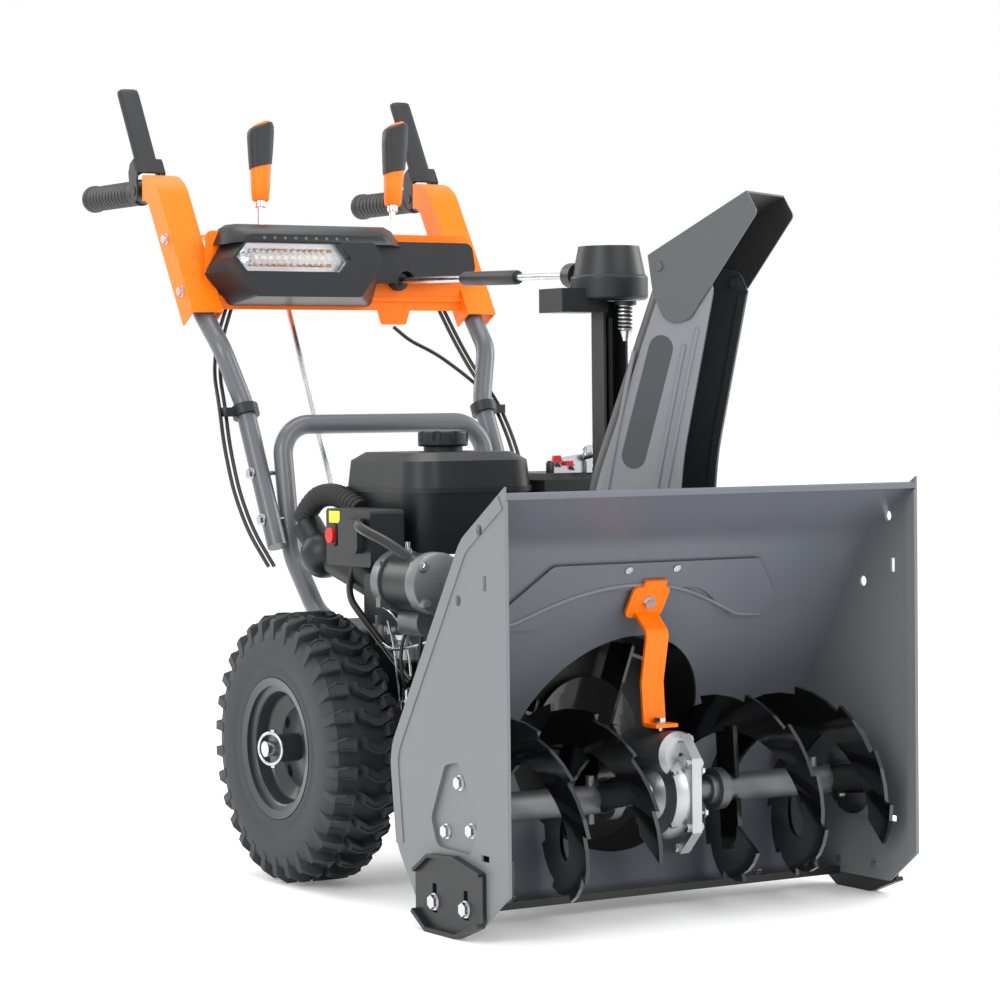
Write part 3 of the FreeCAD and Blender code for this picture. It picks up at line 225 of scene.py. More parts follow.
PLASTIC = {
    "black": finish("black ABS, grained", "1b1c1e", 0.40, grain_mm=0.7, bump=0.22, Specular_IOR_Level=0.4),
    "satin": finish("black ABS, satin", "1e1f21", 0.30, grain_mm=1.2, bump=0.08),
    "soft": finish("soft-touch elastomer", "1f2022", 0.50, grain_mm=0.8, bump=0.25, Specular_IOR_Level=0.4),
    "chute": finish("grey polypropylene, chute, painted inner shade", "6f7175", 0.44, grain_mm=0.8, bump=0.18, blotch=0.04),
    "hood": finish("grey polypropylene, hood, painted inner shade", "48494b", 0.52, grain_mm=0.8, bump=0.2, blotch=0.04),
    "orange": finish("orange ABS", "ff7500", 0.42, grain_mm=0.8, bump=0.1, blotch=0.03,
                     Specular_IOR_Level=0.3),
    "red": finish("red ABS", "d01208", 0.25, bump=0.05),
    "yellow": finish("yellow vinyl label", "f2e21a", 0.35, bump=0.05, blotch=0.02),
    "sticker": finish("dark vinyl label", "33353a", 0.40, bump=0.05, blotch=0.03),
    "rubber": finish("moulded rubber", "1c1c1d", 0.62, grain_mm=0.8, bump=0.3),
    "tyre": finish("tyre rubber", "2b2c2e", 0.66, grain_mm=0.8, bump=0.35, blotch_mm=40, blotch=0.2),
    "cable": finish("cable jacket", "121213", 0.35, grain_mm=1.2, bump=0.05),
}
floor.data.materials.append(PAINT["floor"])
floor_shader = PAINT["floor"].node_tree.nodes["Principled BSDF"]
floor_shader.inputs["Emission Color"].default_value = (1, 1, 1, 1)
floor_shader.inputs["Emission Strength"].default_value = 0.16
print("finishes:", len(PAINT) + len(METAL) + len(PLASTIC))

# %% [markdown]
# ## Painted shade inside the chute and its hood
# Both are grey outside and painted nearly black inside, as the shade that falls in their hollow. The
# skin is thin, so the finish itself tells its two sides apart: a point is inside where it lies
# beyond planes drawn just within the cheeks and the back.

# %% Painted shade inside the mouldings
def paint_inner_shade(material, code, bounds):
    """Paint shade on a skin's inner side: each point beyond all of these (direction, distance) planes."""
    tree = material.node_tree
    shader = tree.nodes["Principled BSDF"]
    outside = shader.inputs["Base Color"].links[0].from_socket
    place = add_node(tree, "ShaderNodeTexCoord").outputs["Object"]
    inside = 1.0
    for way, distance in bounds:
        reach = add_node(tree, "ShaderNodeVectorMath", {"operation": "DOT_PRODUCT"},
                         {0: place, 1: tuple(way)})
        beyond = add_node(tree, "ShaderNodeMath", {"operation": "GREATER_THAN"},
                          {0: reach.outputs["Value"], 1: distance})
        both = add_node(tree, "ShaderNodeMath", {"operation": "MULTIPLY"}, {0: beyond.outputs[0], 1: inside})
        inside = both.outputs[0]
    tone = add_node(tree, "ShaderNodeMix", {"data_type": "RGBA"},
                    {"Factor": inside, "A": outside, "B": linear(code)})
    tree.links.new(tone.outputs["Result"], shader.inputs["Base Color"])


def plane(way, point):
    """The (direction, distance) of a plane through a point."""
    return way, Vector(way).dot(point)


def cheek_planes(half_width):
    """The two planes just inside the chute's cheeks."""
    reach = CHUTE_RIGHT * (half_width * MM)
    return [plane(CHUTE_RIGHT, CHUTE_CENTRE - reach), plane(-CHUTE_RIGHT, CHUTE_CENTRE + reach)]


CHUTE_INSIDE = 48.6
HOOD_INSIDE = 51.6
BACK_SLOPE = (CHUTE_FORWARD - Z_WAY * 0.374).normalized()
HOOD_SLOPE = (CHUTE_FORWARD * 0.557 - Z_WAY).normalized()
back_point = CHUTE_CENTRE + CHUTE_FORWARD * (-37.5 * MM) + Z_WAY * (500 * MM)
hood_point = CHUTE_CENTRE + CHUTE_FORWARD * (20 * MM) + Z_WAY * (731 * MM)
# Painted shade: the chute's inner faces turn dark grey and the hood's near black.
paint_inner_shade(PLASTIC["chute"], "2b2c30", cheek_planes(CHUTE_INSIDE) + [plane(BACK_SLOPE, back_point)])
paint_inner_shade(PLASTIC["hood"], "1d1d1f", cheek_planes(HOOD_INSIDE) + [plane(HOOD_SLOPE, hood_point)])
print("painted inner shade on:", PLASTIC["chute"].name, "and", PLASTIC["hood"].name)

# %% [markdown]
# ## A clear polycarbonate lens
# The headlight's window is glossy and clear, with an IOR of 1.58, so it shows the lamp board and
# still catches a highlight.

# %% Lens
lens_glass = bpy.data.materials.new("clear polycarbonate")
lens_glass.use_nodes = True
lens_shader = lens_glass.node_tree.nodes["Principled BSDF"]
lens_shader.inputs["Base Color"].default_value = linear("f4f6f8")
lens_shader.inputs["Roughness"].default_value = 0.04
lens_shader.inputs["IOR"].default_value = 1.58
lens_shader.inputs["Transmission Weight"].default_value = 1.0
lens_shader.inputs["Alpha"].default_value = 0.35
print("lens:", lens_glass.name)

# %% [markdown]
# ## A finish for every CAD part
# The list is ordered by finish, and each part takes one. A part that a finer piece replaces further
# down has a finish here too, so that none is left without.

# %% Assign finishes
FINISHES = {
    PAINT["plate"]: ["side_plate_right", "side_plate_left"],
    PAINT["panel"]: ["auger_housing"],
    PAINT["enamel"]: ["auger_flights_right", "auger_flights_left", "impeller"],
    PAINT["orange"]: ["gearbox_brace", "console_panel"],
    PAINT["black"]: ["impeller_drum", "scraper_bar", "tractor_frame", "chute_post", "starter_motor"],
    PAINT["heat"]: ["muffler_guard"],
    PAINT["tube"]: ["lower_handle", "upper_handle_right", "upper_handle_left"],
    PAINT["rim"]: ["rim_right", "rim_left"],
    METAL["zinc"]: ["housing_bolts", "auger_bearings", "handle_bolts", "wheel_axle", "hub_pins",
                    "chute_crank", "speed_lever_rod", "deflector_lever_rod", "shift_rod"],
    METAL["cast"]: ["gearbox_half_right", "gearbox_half_left"],
    METAL["block"]: ["engine_block", "auger_shaft"],
    METAL["bright"]: ["headlight_lamps"],
    PLASTIC["black"]: ["chute_collar", "skid_shoe_right", "skid_shoe_left", "intake_cover", "fuel_tank",
                       "recoil_cover", "switch_box", "console_cover", "belt_cover", "cable_clamps",
                       "chute_gear_head", "fuel_cap"],
    PLASTIC["satin"]: ["paddle_right", "paddle_left", "speed_lever_knob", "deflector_lever_knob"],
    PLASTIC["chute"]: ["chute"],
    PLASTIC["hood"]: ["deflector"],
    PLASTIC["rubber"]: ["heater_hose", "grip_right", "grip_left"],
    PLASTIC["tyre"]: ["tyre_right", "tyre_left"],
    PLASTIC["cable"]: ["control_cables"],
    PLASTIC["red"]: ["start_button"],
    lens_glass: ["headlight_lens"],
}
for material, names in FINISHES.items():
    for name in names:
        for place in NODES[name].material_slots:
            place.material = material
unfinished = set(NODES) - {name for names in FINISHES.values() for name in names}
print("parts without a finish:", sorted(unfinished))

# %% [markdown]
# ## Helpers for making meshes
# Most added pieces are one of four kinds: a plate cut to an outline, a profile turned about an axis,
# a skin lofted through rings, or a wire that follows a route. Each helper works in place, so that a
# finished piece's object sits at the origin, and `add_piece` hands it to the body it moves with.

# %% Mesh helpers
def add_piece(name, mesh, material, body):
    """An object for a mesh that is already in place, riding on a body."""
    piece = bpy.data.objects.new(name, mesh)
    bpy.context.collection.objects.link(piece)
    mesh.materials.clear()
    mesh.materials.append(material)
    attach(piece, body)
    print(name, "triangles:", sum(len(face.vertices) - 2 for face in mesh.polygons))
    return piece


def mesh_from(name, form):
    """A mesh from a bmesh, with its faces turned outwards and only its sharp edges kept sharp."""
    bmesh.ops.remove_doubles(form, verts=form.verts, dist=1e-6)
    bmesh.ops.recalc_face_normals(form, faces=form.faces)
    for face in form.faces:
        face.smooth = True
    mesh = bpy.data.meshes.new(name)
    form.to_mesh(mesh)
    form.free()
    mesh.set_sharp_from_angle(angle=SHARP_EDGE)
    return mesh


def add_form(name, form, material, body):
    """The same for a bmesh."""
    return add_piece(name, mesh_from(name, form), material, body)


def facing(place, way, up=Z_WAY):
    """A matrix whose Z runs along way and whose Y is as near to up as it can be."""
    along = Vector(way).normalized()
    across = Vector(up).cross(along)
    if across.length < 1e-4:
        across = Y_WAY.cross(along)
    across.normalize()
    return Matrix.Translation(place) @ Matrix((across, along.cross(across), along)).transposed().to_4x4()


def band(form, low, high):
    """Add a band of faces between two closed loops with the same number of corners."""
    for first in range(len(low)):
        second = (first + 1) % len(low)
        form.faces.new([low[first], low[second], high[second], high[first]])


def loft(form, rings):
    """Add a closed skin through rings of points, with a flat cap at each end."""
    loops = [[form.verts.new(point) for point in ring] for ring in rings]
    form.faces.new(loops[0][::-1])
    form.faces.new(loops[-1])
    for low, high in zip(loops, loops[1:]):
        band(form, low, high)


def turned(form, profile, place, way, segments=48):
    """Add a closed ring turned from (radius, distance along way) corners in millimetres."""
    turn = facing(place, way)
    rings = []
    for k in range(segments):
        angle = 2 * math.pi * k / segments
        ring = [turn @ (Vector((r * math.cos(angle), r * math.sin(angle), z)) * MM) for r, z in profile]
        rings.append([form.verts.new(corner) for corner in ring])
    for here, following in zip(rings, rings[1:] + rings[:1]):
        band(form, here, following)


def plate(form, outline, place, way, thick, up=Z_WAY):
    """Add a flat plate with an (across, up) outline in millimetres, thick along way."""
    turn = facing(place, way, up)
    back = [form.verts.new(turn @ (Vector((x, y, 0)) * MM)) for x, y in outline]
    front = [form.verts.new(turn @ (Vector((x, y, thick)) * MM)) for x, y in outline]
    form.faces.new(back[::-1])
    form.faces.new(front)
    band(form, back, front)


def circle(radius, count=24):
    """A round outline in millimetres."""
    turns = [2 * math.pi * k / count for k in range(count)]
    return [(radius * math.cos(turn), radius * math.sin(turn)) for turn in turns]


def slot_outline(width, length, steps=8):
    """An upright outline with round ends, in millimetres."""
    reach = length / 2 - width / 2
    ends = []
    for centre, start in ((reach, 0), (-reach, math.pi)):
        for k in range(steps + 1):
            angle = start + math.pi * k / steps
            ends.append((width / 2 * math.cos(angle), centre + width / 2 * math.sin(angle)))
    return ends


def baked(holder):
    """The mesh that an object's curve or modifiers make, taken off the object."""
    bpy.context.collection.objects.link(holder)
    mesh = bpy.data.meshes.new_from_object(holder.evaluated_get(bpy.context.evaluated_depsgraph_get()))
    bpy.data.objects.remove(holder)
    return mesh


def route_object(name, points, steps):
    """A smooth curve with no thickness along points, drawn with this many steps for each."""
    curve = bpy.data.curves.new(name, "CURVE")
    curve.dimensions = "3D"
    spline = curve.splines.new("NURBS")
    spline.points.add(len(points) - 1)
    for target, point in zip(spline.points, points):
        target.co = (*point, 1)
    spline.order_u = 3
    spline.use_endpoint_u = True
    curve.resolution_u = steps
    return bpy.data.objects.new(name, curve)


def route_curve(name, points, radius):
    """A smooth wire or bead of a radius in millimetres along points, as a mesh."""
    holder = route_object(name, points, 8)
    holder.data.bevel_depth = radius * MM
    holder.data.bevel_resolution = 3
    holder.data.use_fill_caps = True
    mesh = baked(holder)
    for face in mesh.polygons:
        face.use_smooth = True
    return mesh


# %% [markdown]
# ## Geometry Nodes: a ring of copies
# A tyre's tread blocks repeat round its axle. A small node tree makes any such ring: it puts copies
# of a piece on points that share one place, turns each by its share of a full turn about a centre,
# and makes the copies real. Its inputs are the piece, the count, the centre, the axis and the finish.

# %% The ring tree and how a tree's result becomes a mesh
def new_tree(name, inputs):
    """A geometry node tree with its own inputs, and its input and output nodes."""
    tree = bpy.data.node_groups.new(name, "GeometryNodeTree")
    tree.interface.new_socket("Geometry", in_out="INPUT", socket_type="NodeSocketGeometry")
    for label, kind in inputs.items():
        tree.interface.new_socket(label, in_out="INPUT", socket_type=kind)
    tree.interface.new_socket("Geometry", in_out="OUTPUT", socket_type="NodeSocketGeometry")
    return tree, tree.nodes.new("NodeGroupInput").outputs


def end_tree(tree, geometry, material):
    """Make a tree's copies real and give them their material."""
    real = add_node(tree, "GeometryNodeRealizeInstances", None, {"Geometry": geometry})
    painted = add_node(tree, "GeometryNodeSetMaterial", None,
                       {"Geometry": real.outputs[0], "Material": material})
    add_node(tree, "NodeGroupOutput", None, {"Geometry": painted.outputs[0]})
    print("node tree:", tree.name, len(tree.nodes), "nodes")


def made_by(tree, name, material, **values):
    """The mesh that a tree makes from these inputs."""
    holder = bpy.data.objects.new(name, bpy.data.meshes.new(name))
    nodes = holder.modifiers.new("nodes", "NODES")
    nodes.node_group = tree
    values["Material"] = material
    for item in tree.interface.items_tree:
        if item.in_out == "INPUT" and item.name in values:
            nodes[item.identifier] = values[item.name]
    return baked(holder)


def sample(name, form):
    """An object outside the scene that a tree copies from."""
    return bpy.data.objects.new(name, mesh_from(name, form))


ring_tree, asked = new_tree("ring of copies", {"Piece": "NodeSocketObject", "Count": "NodeSocketInt",
                                               "Centre": "NodeSocketVector", "Axis": "NodeSocketVector",
                                               "Material": "NodeSocketMaterial"})
points = add_node(ring_tree, "GeometryNodeMeshLine", None, {"Count": asked["Count"], "Offset": (0, 0, 0)})
piece_info = add_node(ring_tree, "GeometryNodeObjectInfo", None, {"Object": asked["Piece"]})
copies = add_node(ring_tree, "GeometryNodeInstanceOnPoints", None,
                  {"Points": points.outputs[0], "Instance": piece_info.outputs["Geometry"]})
number = add_node(ring_tree, "GeometryNodeInputIndex").outputs[0]
share = add_node(ring_tree, "ShaderNodeMath", {"operation": "DIVIDE"}, {0: number, 1: asked["Count"]})
angle = add_node(ring_tree, "ShaderNodeMath", {"operation": "MULTIPLY"},
                 {0: share.outputs[0], 1: 2 * math.pi})
turning = add_node(ring_tree, "FunctionNodeAxisAngleToRotation", None,
                   {"Axis": asked["Axis"], "Angle": angle.outputs[0]})
around = add_node(ring_tree, "GeometryNodeRotateInstances", None,
                  {"Instances": copies.outputs[0], "Rotation": turning.outputs[0],
                   "Pivot Point": asked["Centre"], "Local Space": False})
end_tree(ring_tree, around.outputs[0], asked["Material"])

# %% [markdown]
# ## Geometry Nodes: a row of copies
# The headlight's diodes and the vent holes above it stand in straight rows. The second tree places
# copies evenly from one point to another.

# %% The row tree
row_tree, asked = new_tree("row of copies", {"Piece": "NodeSocketObject", "Count": "NodeSocketInt",
                                             "Start": "NodeSocketVector", "End": "NodeSocketVector",
                                             "Material": "NodeSocketMaterial"})
points = add_node(row_tree, "GeometryNodeMeshLine", {"mode": "END_POINTS"},
                  {"Count": asked["Count"], "Start Location": asked["Start"], "Offset": asked["End"]})
piece_info = add_node(row_tree, "GeometryNodeObjectInfo", None, {"Object": asked["Piece"]})
copies = add_node(row_tree, "GeometryNodeInstanceOnPoints", None,
                  {"Points": points.outputs[0], "Instance": piece_info.outputs["Geometry"]})
end_tree(row_tree, copies.outputs[0], asked["Material"])

# %% [markdown]
# ## Geometry Nodes: a corrugated tube
# A corrugated hose is a tube whose radius rises and falls along its length. The tree cuts the route
# into short steps and sets each point's radius from how far along the route it is.

# %% The corrugated hose tree
hose_tree, asked = new_tree("corrugated hose", {"Route": "NodeSocketObject", "Pitch": "NodeSocketFloat",
                                                "Radius": "NodeSocketFloat", "Depth": "NodeSocketFloat",
                                                "Material": "NodeSocketMaterial"})
route = add_node(hose_tree, "GeometryNodeObjectInfo", None, {"Object": asked["Route"]})
STEPS_PER_RIB = 6.0
step = add_node(hose_tree, "ShaderNodeMath", {"operation": "DIVIDE"}, {0: asked["Pitch"], 1: STEPS_PER_RIB})
fine = add_node(hose_tree, "GeometryNodeResampleCurve", {"mode": "LENGTH"},
                {"Curve": route.outputs["Geometry"], "Length": step.outputs[0]})
travelled = add_node(hose_tree, "GeometryNodeSplineParameter").outputs["Length"]
turns = add_node(hose_tree, "ShaderNodeMath", {"operation": "DIVIDE"}, {0: travelled, 1: asked["Pitch"]})
phase = add_node(hose_tree, "ShaderNodeMath", {"operation": "MULTIPLY"},
                 {0: turns.outputs[0], 1: 2 * math.pi})
wave = add_node(hose_tree, "ShaderNodeMath", {"operation": "SINE"}, {0: phase.outputs[0]})
swell = add_node(hose_tree, "ShaderNodeMath", {"operation": "MULTIPLY_ADD"},
                 {0: wave.outputs[0], 1: asked["Depth"], 2: asked["Radius"]})
round_profile = add_node(hose_tree, "GeometryNodeCurvePrimitiveCircle", None,
                         {"Resolution": 24, "Radius": 1.0})
tube = add_node(hose_tree, "GeometryNodeCurveToMesh", None,
                {"Curve": fine.outputs[0], "Profile Curve": round_profile.outputs[0],
                 "Scale": swell.outputs[0], "Fill Caps": True})
smooth = add_node(hose_tree, "GeometryNodeSetShadeSmooth", None, {"Geometry": tube.outputs[0]})
end_tree(hose_tree, smooth.outputs[0], asked["Material"])

# %% [markdown]
# ## Snow tyres
# A snow tyre is moulded in one piece: a smooth carcass with deep rubber blocks on it. Here the carcass
# is a turned profile. The blocks are drawn flat, as a tyre maker draws a tread: a boat-shaped block in
# the middle, and a shoulder block on each side that folds down over the sidewall. Each is wrapped
# onto the tyre's curve and repeated by the ring tree.

# %% Tyre sizes and the tread blocks
WHEEL_BACK = 555
WHEEL_RADIUS = 165
TREAD_BASE = 151
SHOULDER_START = 32
TYRE_MIDDLE = 222.5
LUG_COUNT = 30
PIT_DEPTH = 2.2
BOAT = [(-11, -9), (-11, 3), (8, 13), (17, 13), (35, 4), (35, -8), (17, 2), (8, 2)]
SHOULDER = [(-46, -5), (-46, 6), (-18, 8), (-18, -8), (-33, -9)]
INNER_SHOULDER = [(46, 11), (46, 22), (24, 25), (22, 11), (34, 8)]
CARCASS = [(84, -37), (87, -43), (96, -44.5), (100, -43.6), (104, -44.8), (128, -46), (141, -44),
           (149, -37), (152, -20), (152, 20), (149, 37), (141, 44), (128, 46), (104, 44.8), (96, 44.5),
           (87, 43), (84, 37)]


def tread_top(x):
    """How far out the tread's surface is, x millimetres from the tyre's middle."""
    over = max(abs(x) - SHOULDER_START, 0) / 14
    return WHEEL_RADIUS - 0.8 - 12 * over * over


def wrapped(x, y, radius, centre):
    """A tread point at a distance along the tyre, on a circle of this radius about the axle."""
    turn = y / TREAD_BASE
    return centre + Vector((x, -radius * math.sin(turn), radius * math.cos(turn))) * MM


def tread_block(form, outline, centre, side):
    """Add one block: walls that lean in, and a top with a shallow pit inside a rim."""
    middle_x = sum(x for x, y in outline) / len(outline)
    middle_y = sum(y for x, y in outline) / len(outline)

    def level(share, radius_of):
        corners = []
        for x, y in outline:
            at_x = middle_x + (x - middle_x) * share
            at_y = middle_y + (y - middle_y) * share
            corners.append(form.verts.new(wrapped(side * at_x, at_y, radius_of(at_x), centre)))
        return corners

    foot = level(1.0, lambda x: tread_top(x) - 16 if abs(x) < 40 else tread_top(x) - 20)
    top = level(0.93, tread_top)
    rim = level(0.74, tread_top)
    pit = level(0.68, lambda x: tread_top(x) - PIT_DEPTH)
    for low, high in ((foot, top), (top, rim), (rim, pit)):
        band(form, low, high)
    form.faces.new(pit)
    form.faces.new(foot[::-1])


for side, label in ((-1, "right"), (1, "left")):
    hub = spot(side * TYRE_MIDDLE, WHEEL_BACK, WHEEL_RADIUS)
    form = bmesh.new()
    for outline in (BOAT, SHOULDER, INNER_SHOULDER):
        tread_block(form, outline, hub, -side)
    block = sample("tread blocks " + label, form)
    lugs = made_by(ring_tree, "tread", PLASTIC["tyre"], Piece=block, Count=LUG_COUNT, Centre=hub,
                   Axis=X_WAY)
    form = bmesh.new()
    turned(form, CARCASS, hub, X_WAY, 96)
    carcass = mesh_from("carcass", form)
    form = bmesh.new()
    form.from_mesh(carcass)
    form.from_mesh(lugs)
    mesh = bpy.data.meshes.new("tyre")
    form.to_mesh(mesh)
    form.free()
    mesh.set_sharp_from_angle(angle=SHARP_EDGE)
    tyre = add_piece("snow_tyre_" + label, mesh, PLASTIC["tyre"], "wheels")
    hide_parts("tyre_" + label)

# %% [markdown]
# ## The warm air hose
# A thin ribbed duct carries warm air from the silencer to the carburettor. The ribs are what makes it
# bend, so they are modelled, at a pitch of 8 mm. The route repeats the CAD hose's points.

# %% Corrugated hose
HOSE_POINTS = [spot(-158, 526, 452), spot(-160, 560, 466), spot(-160, 604, 471), spot(-160, 645, 462),
               spot(-160, 670, 438)]
hose_route = route_object("hose route", HOSE_POINTS, 12)
hose_mesh = made_by(hose_tree, "hose", PLASTIC["rubber"], Route=hose_route, Pitch=8 * MM,
                    Radius=12.0 * MM, Depth=2.4 * MM)
hose = add_piece("ribbed_hose", hose_mesh, PLASTIC["rubber"], "machine")
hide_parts("heater_hose")

# %% [markdown]
# ## The chute's moulded details
# The chute is blow moulded polypropylene. Long flutes along each cheek stiffen it, and a dark oval
# label lies between them. Each flute is a half-round bead that follows the cheek's slope, and it
# stays thin so that the hood still passes over it.

# %% Chute flutes and labels
CHUTE_HALF = 50
CHUTE_FOOT = 440
CHEEK_GAP = 0.2
FLUTES = [(44, 452, 652), (56, 446, 676), (-18, 470, 640)]


def cheek_point(reach, height, side):
    """A point just off a cheek, on a line that starts this far forward and leans with the chute."""
    rise = height - CHUTE_FOOT
    forward = reach + 0.19 * rise + 0.00012 * rise ** 2
    centre = CHUTE_CENTRE + Z_WAY * (height * MM)
    return centre + CHUTE_FORWARD * (forward * MM) + CHUTE_RIGHT * (side * (CHUTE_HALF + CHEEK_GAP) * MM)


flutes = bmesh.new()
for side in (-1, 1):
    for reach, low, high in FLUTES:
        line = [cheek_point(reach, height, side) for height in range(low, high, 24)]
        flutes.from_mesh(route_curve("flute", line, 2.4))
add_form("chute_flutes", flutes, PLASTIC["chute"], "chute_body")

label_form = bmesh.new()
for side in (-1, 1):
    low = cheek_point(6, 505, side)
    high = cheek_point(16, 655, side)
    outline = slot_outline(30, (high - low).length / MM)
    plate(label_form, outline, (low + high) / 2, CHUTE_RIGHT * side, 0.25, up=high - low)
add_form("chute_labels", label_form, PLASTIC["sticker"], "chute_body")

# %% [markdown]
# ## The spring under the chute's gear head
# A compression spring loads the chute's gear so that it holds its place. A coil is a helix, so a
# short loop works out its turns, and a turned cup closes its lower end.

# %% Coil spring
SPRING_TURNS = 7
SPRING_STEPS = 12
SPRING_RADIUS = 9.2
SPRING_LENGTH = 32
SPRING_TOP = spot(40, 240, 696)
helix = []
for k in range(SPRING_TURNS * SPRING_STEPS + 1):
    turn = 2 * math.pi * k / SPRING_STEPS
    drop = SPRING_LENGTH * k / (SPRING_TURNS * SPRING_STEPS)
    place = Vector((SPRING_RADIUS * math.cos(turn), SPRING_RADIUS * math.sin(turn), -drop))
    helix.append(SPRING_TOP + place * MM)
spring_form = bmesh.new()
spring_form.from_mesh(route_curve("spring", helix, 1.3))
turned(spring_form, [(0.5, -44), (4, -44), (7, -34), (7, -31), (0.5, -31)], SPRING_TOP, Z_WAY, 24)
add_form("gear_head_spring", spring_form, METAL["zinc"], "machine")

# %% [markdown]
# ## Headlight
# Behind the clear window three rows of diodes sit in small square cups: white ones between two amber
# rows. A larger round lamp closes the rows at their outer end.

# %% Diodes and round lamp
glow = finish("white diode", "fff4dc", 0.2, bump=0.0, blotch=0.0)
amber = finish("amber diode", "d08a3a", 0.2, bump=0.0, blotch=0.0)
cup_form = bmesh.new()
plate(cup_form, [(-2.6, -2.2), (2.6, -2.2), (2.6, 2.2), (-2.6, 2.2)], Vector(), -Y_WAY, 3.0)
plate(cup_form, circle(1.6, 12), Vector((0, -0.003, 0)), -Y_WAY, 0.8)
diode = sample("diode cup", cup_form)
for height, material, label in ((763.5, amber, "lower"), (773, glow, "middle"), (782.5, amber, "upper")):
    row = made_by(row_tree, "diodes", material, Piece=diode, Count=11,
                  Start=spot(-150, 812, height), End=spot(-42, 812, height))
    add_piece("diodes_" + label, row, material, "machine")
lamp_form = bmesh.new()
turned(lamp_form, [(0.3, 0), (10, 0), (10, 5), (8.6, 5), (5.5, 1.6), (0.3, 1.2)],
       spot(-165, 812.5, 773), -Y_WAY, 36)
add_form("round_lamp", lamp_form, METAL["bright"], "machine")

# %% [markdown]
# ## Switch box labels
# The start box has two blank yellow labels, one on its outer side and one on its back. They are
# vinyl patches a third of a millimetre thick.

# %% Switch box labels
LABEL_GAP = 0.1
LABEL_THICK = 0.3
labels = bmesh.new()
plate(labels, [(-13, -7), (13, -7), (13, 7), (-13, 7)], spot(-211 - LABEL_GAP, 497, 446), -X_WAY,
      LABEL_THICK)
plate(labels, [(-9, -17), (9, -17), (9, 17), (-9, 17)], spot(-190, 518 + LABEL_GAP, 424), Y_WAY,
      LABEL_THICK)
add_form("blank_labels", labels, PLASTIC["yellow"], "machine")

# %% [markdown]
# ## Lever knobs in two colours
# Each knob is an orange core with a soft dark cap moulded over its upper part. Both are lofted from
# rounded sections that grow towards the top, and the cap's lower edge slants across the knob.

# %% Lever knobs
KNOB_CORNERS = 24
SQUARENESS = 0.7


def knob_ring(turn, height, wide, deep, slant=0.0):
    """A rounded section of the knob, tilted across by slant."""
    ring = []
    for k in range(KNOB_CORNERS):
        angle = 2 * math.pi * k / KNOB_CORNERS
        x = wide * math.copysign(abs(math.cos(angle)) ** SQUARENESS, math.cos(angle))
        y = deep * math.copysign(abs(math.sin(angle)) ** SQUARENESS, math.sin(angle))
        ring.append(turn @ (Vector((x, y, height + slant * x)) * MM))
    return ring


KNOBS = {
    "speed_lever": (spot(-109, 874, 850), spot(-98, 892, 958)),
    "deflector_lever": (spot(109, 903, 851), spot(126, 922, 968)),
}
for name, (neck, tip) in KNOBS.items():
    turn = facing(neck, tip - neck, up=Y_WAY)
    length = (tip - neck).length / MM
    core = bmesh.new()
    loft(core, [knob_ring(turn, 0.5, 9.5, 8), knob_ring(turn, 3, 11, 9.6), knob_ring(turn, 26, 12.4, 10.6),
                knob_ring(turn, 50, 13.6, 11, 0.25)])
    loft(core, [knob_ring(turn, length - 12, 14, 10, 0.3), knob_ring(turn, length - 4, 11.4, 8.4, 0.42),
                knob_ring(turn, length - 2.6, 8, 6, 0.46)])
    add_form(name + "_core", core, PLASTIC["orange"], name)
    cap = bmesh.new()
    loft(cap, [knob_ring(turn, 47, 14.6, 12, 0.3), knob_ring(turn, 66, 16.2, 12.6, 0.2),
               knob_ring(turn, 90, 17.8, 13, 0.2), knob_ring(turn, length - 12, 17.6, 12.6, 0.3),
               knob_ring(turn, length - 7, 15.4, 10.8, 0.4), knob_ring(turn, length - 4.6, 11, 7.6, 0.44)])
    cap_piece = add_form(name + "_cap", cap, PLASTIC["soft"], name)
    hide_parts(name + "_knob")

# %% [markdown]
# ## Squeeze paddles
# Each paddle is a soft-touch moulded channel that stands above its grip and folds down over it, with
# two ears round the hinge ring. The frame's paddle has flat walls, so a lofted one with rounded edges
# takes its place. The section is drawn once and carried along the paddle's length.

# %% Paddles
PADDLE_LIFT = math.radians(61)
PADDLE_EDGE = 13
PADDLE_OUTSIDE = [(-15.5, 13), (-15.5, 16), (-12.8, 20.4), (-7, 22.4), (7, 22.4), (12.8, 20.4), (15.5, 16),
                  (15.5, 13)]
PADDLE_INSIDE = [(13.6, 13), (13.6, 15), (11.2, 18.2), (6.4, 19.7), (-6.4, 19.7), (-11.2, 18.2),
                 (-13.6, 15), (-13.6, 13)]
PADDLE_SECTION = PADDLE_OUTSIDE + PADDLE_INSIDE
PADDLE_EAR = [(-12, -8), (-6, -11), (6, -11), (14, -8), (30, -2), (38, 8), (38, 20), (34, 22), (16, 22),
              (8, 14), (-2, 11), (-10, 7), (-13, 0)]
EAR_THICK = 2.4
BRIDGE = [(-20.9, 19.6), (20.9, 19.6), (20.9, 21), (19.4, 22), (-19.4, 22), (-20.9, 21)]
EAR_BOSS = [(0.4, -2.6), (5.5, -2.6), (6, -1.2), (6, 1.2), (5.5, 2.6), (0.4, 2.6)]


def along_paddle(raised, section, along, flatten=1.0, narrow=1.0):
    """A section of the paddle at a distance along it."""
    corners = [(x * narrow, along, PADDLE_EDGE + (z - PADDLE_EDGE) * flatten) for x, z in section]
    return [raised @ (Vector(corner) * MM) for corner in corners]


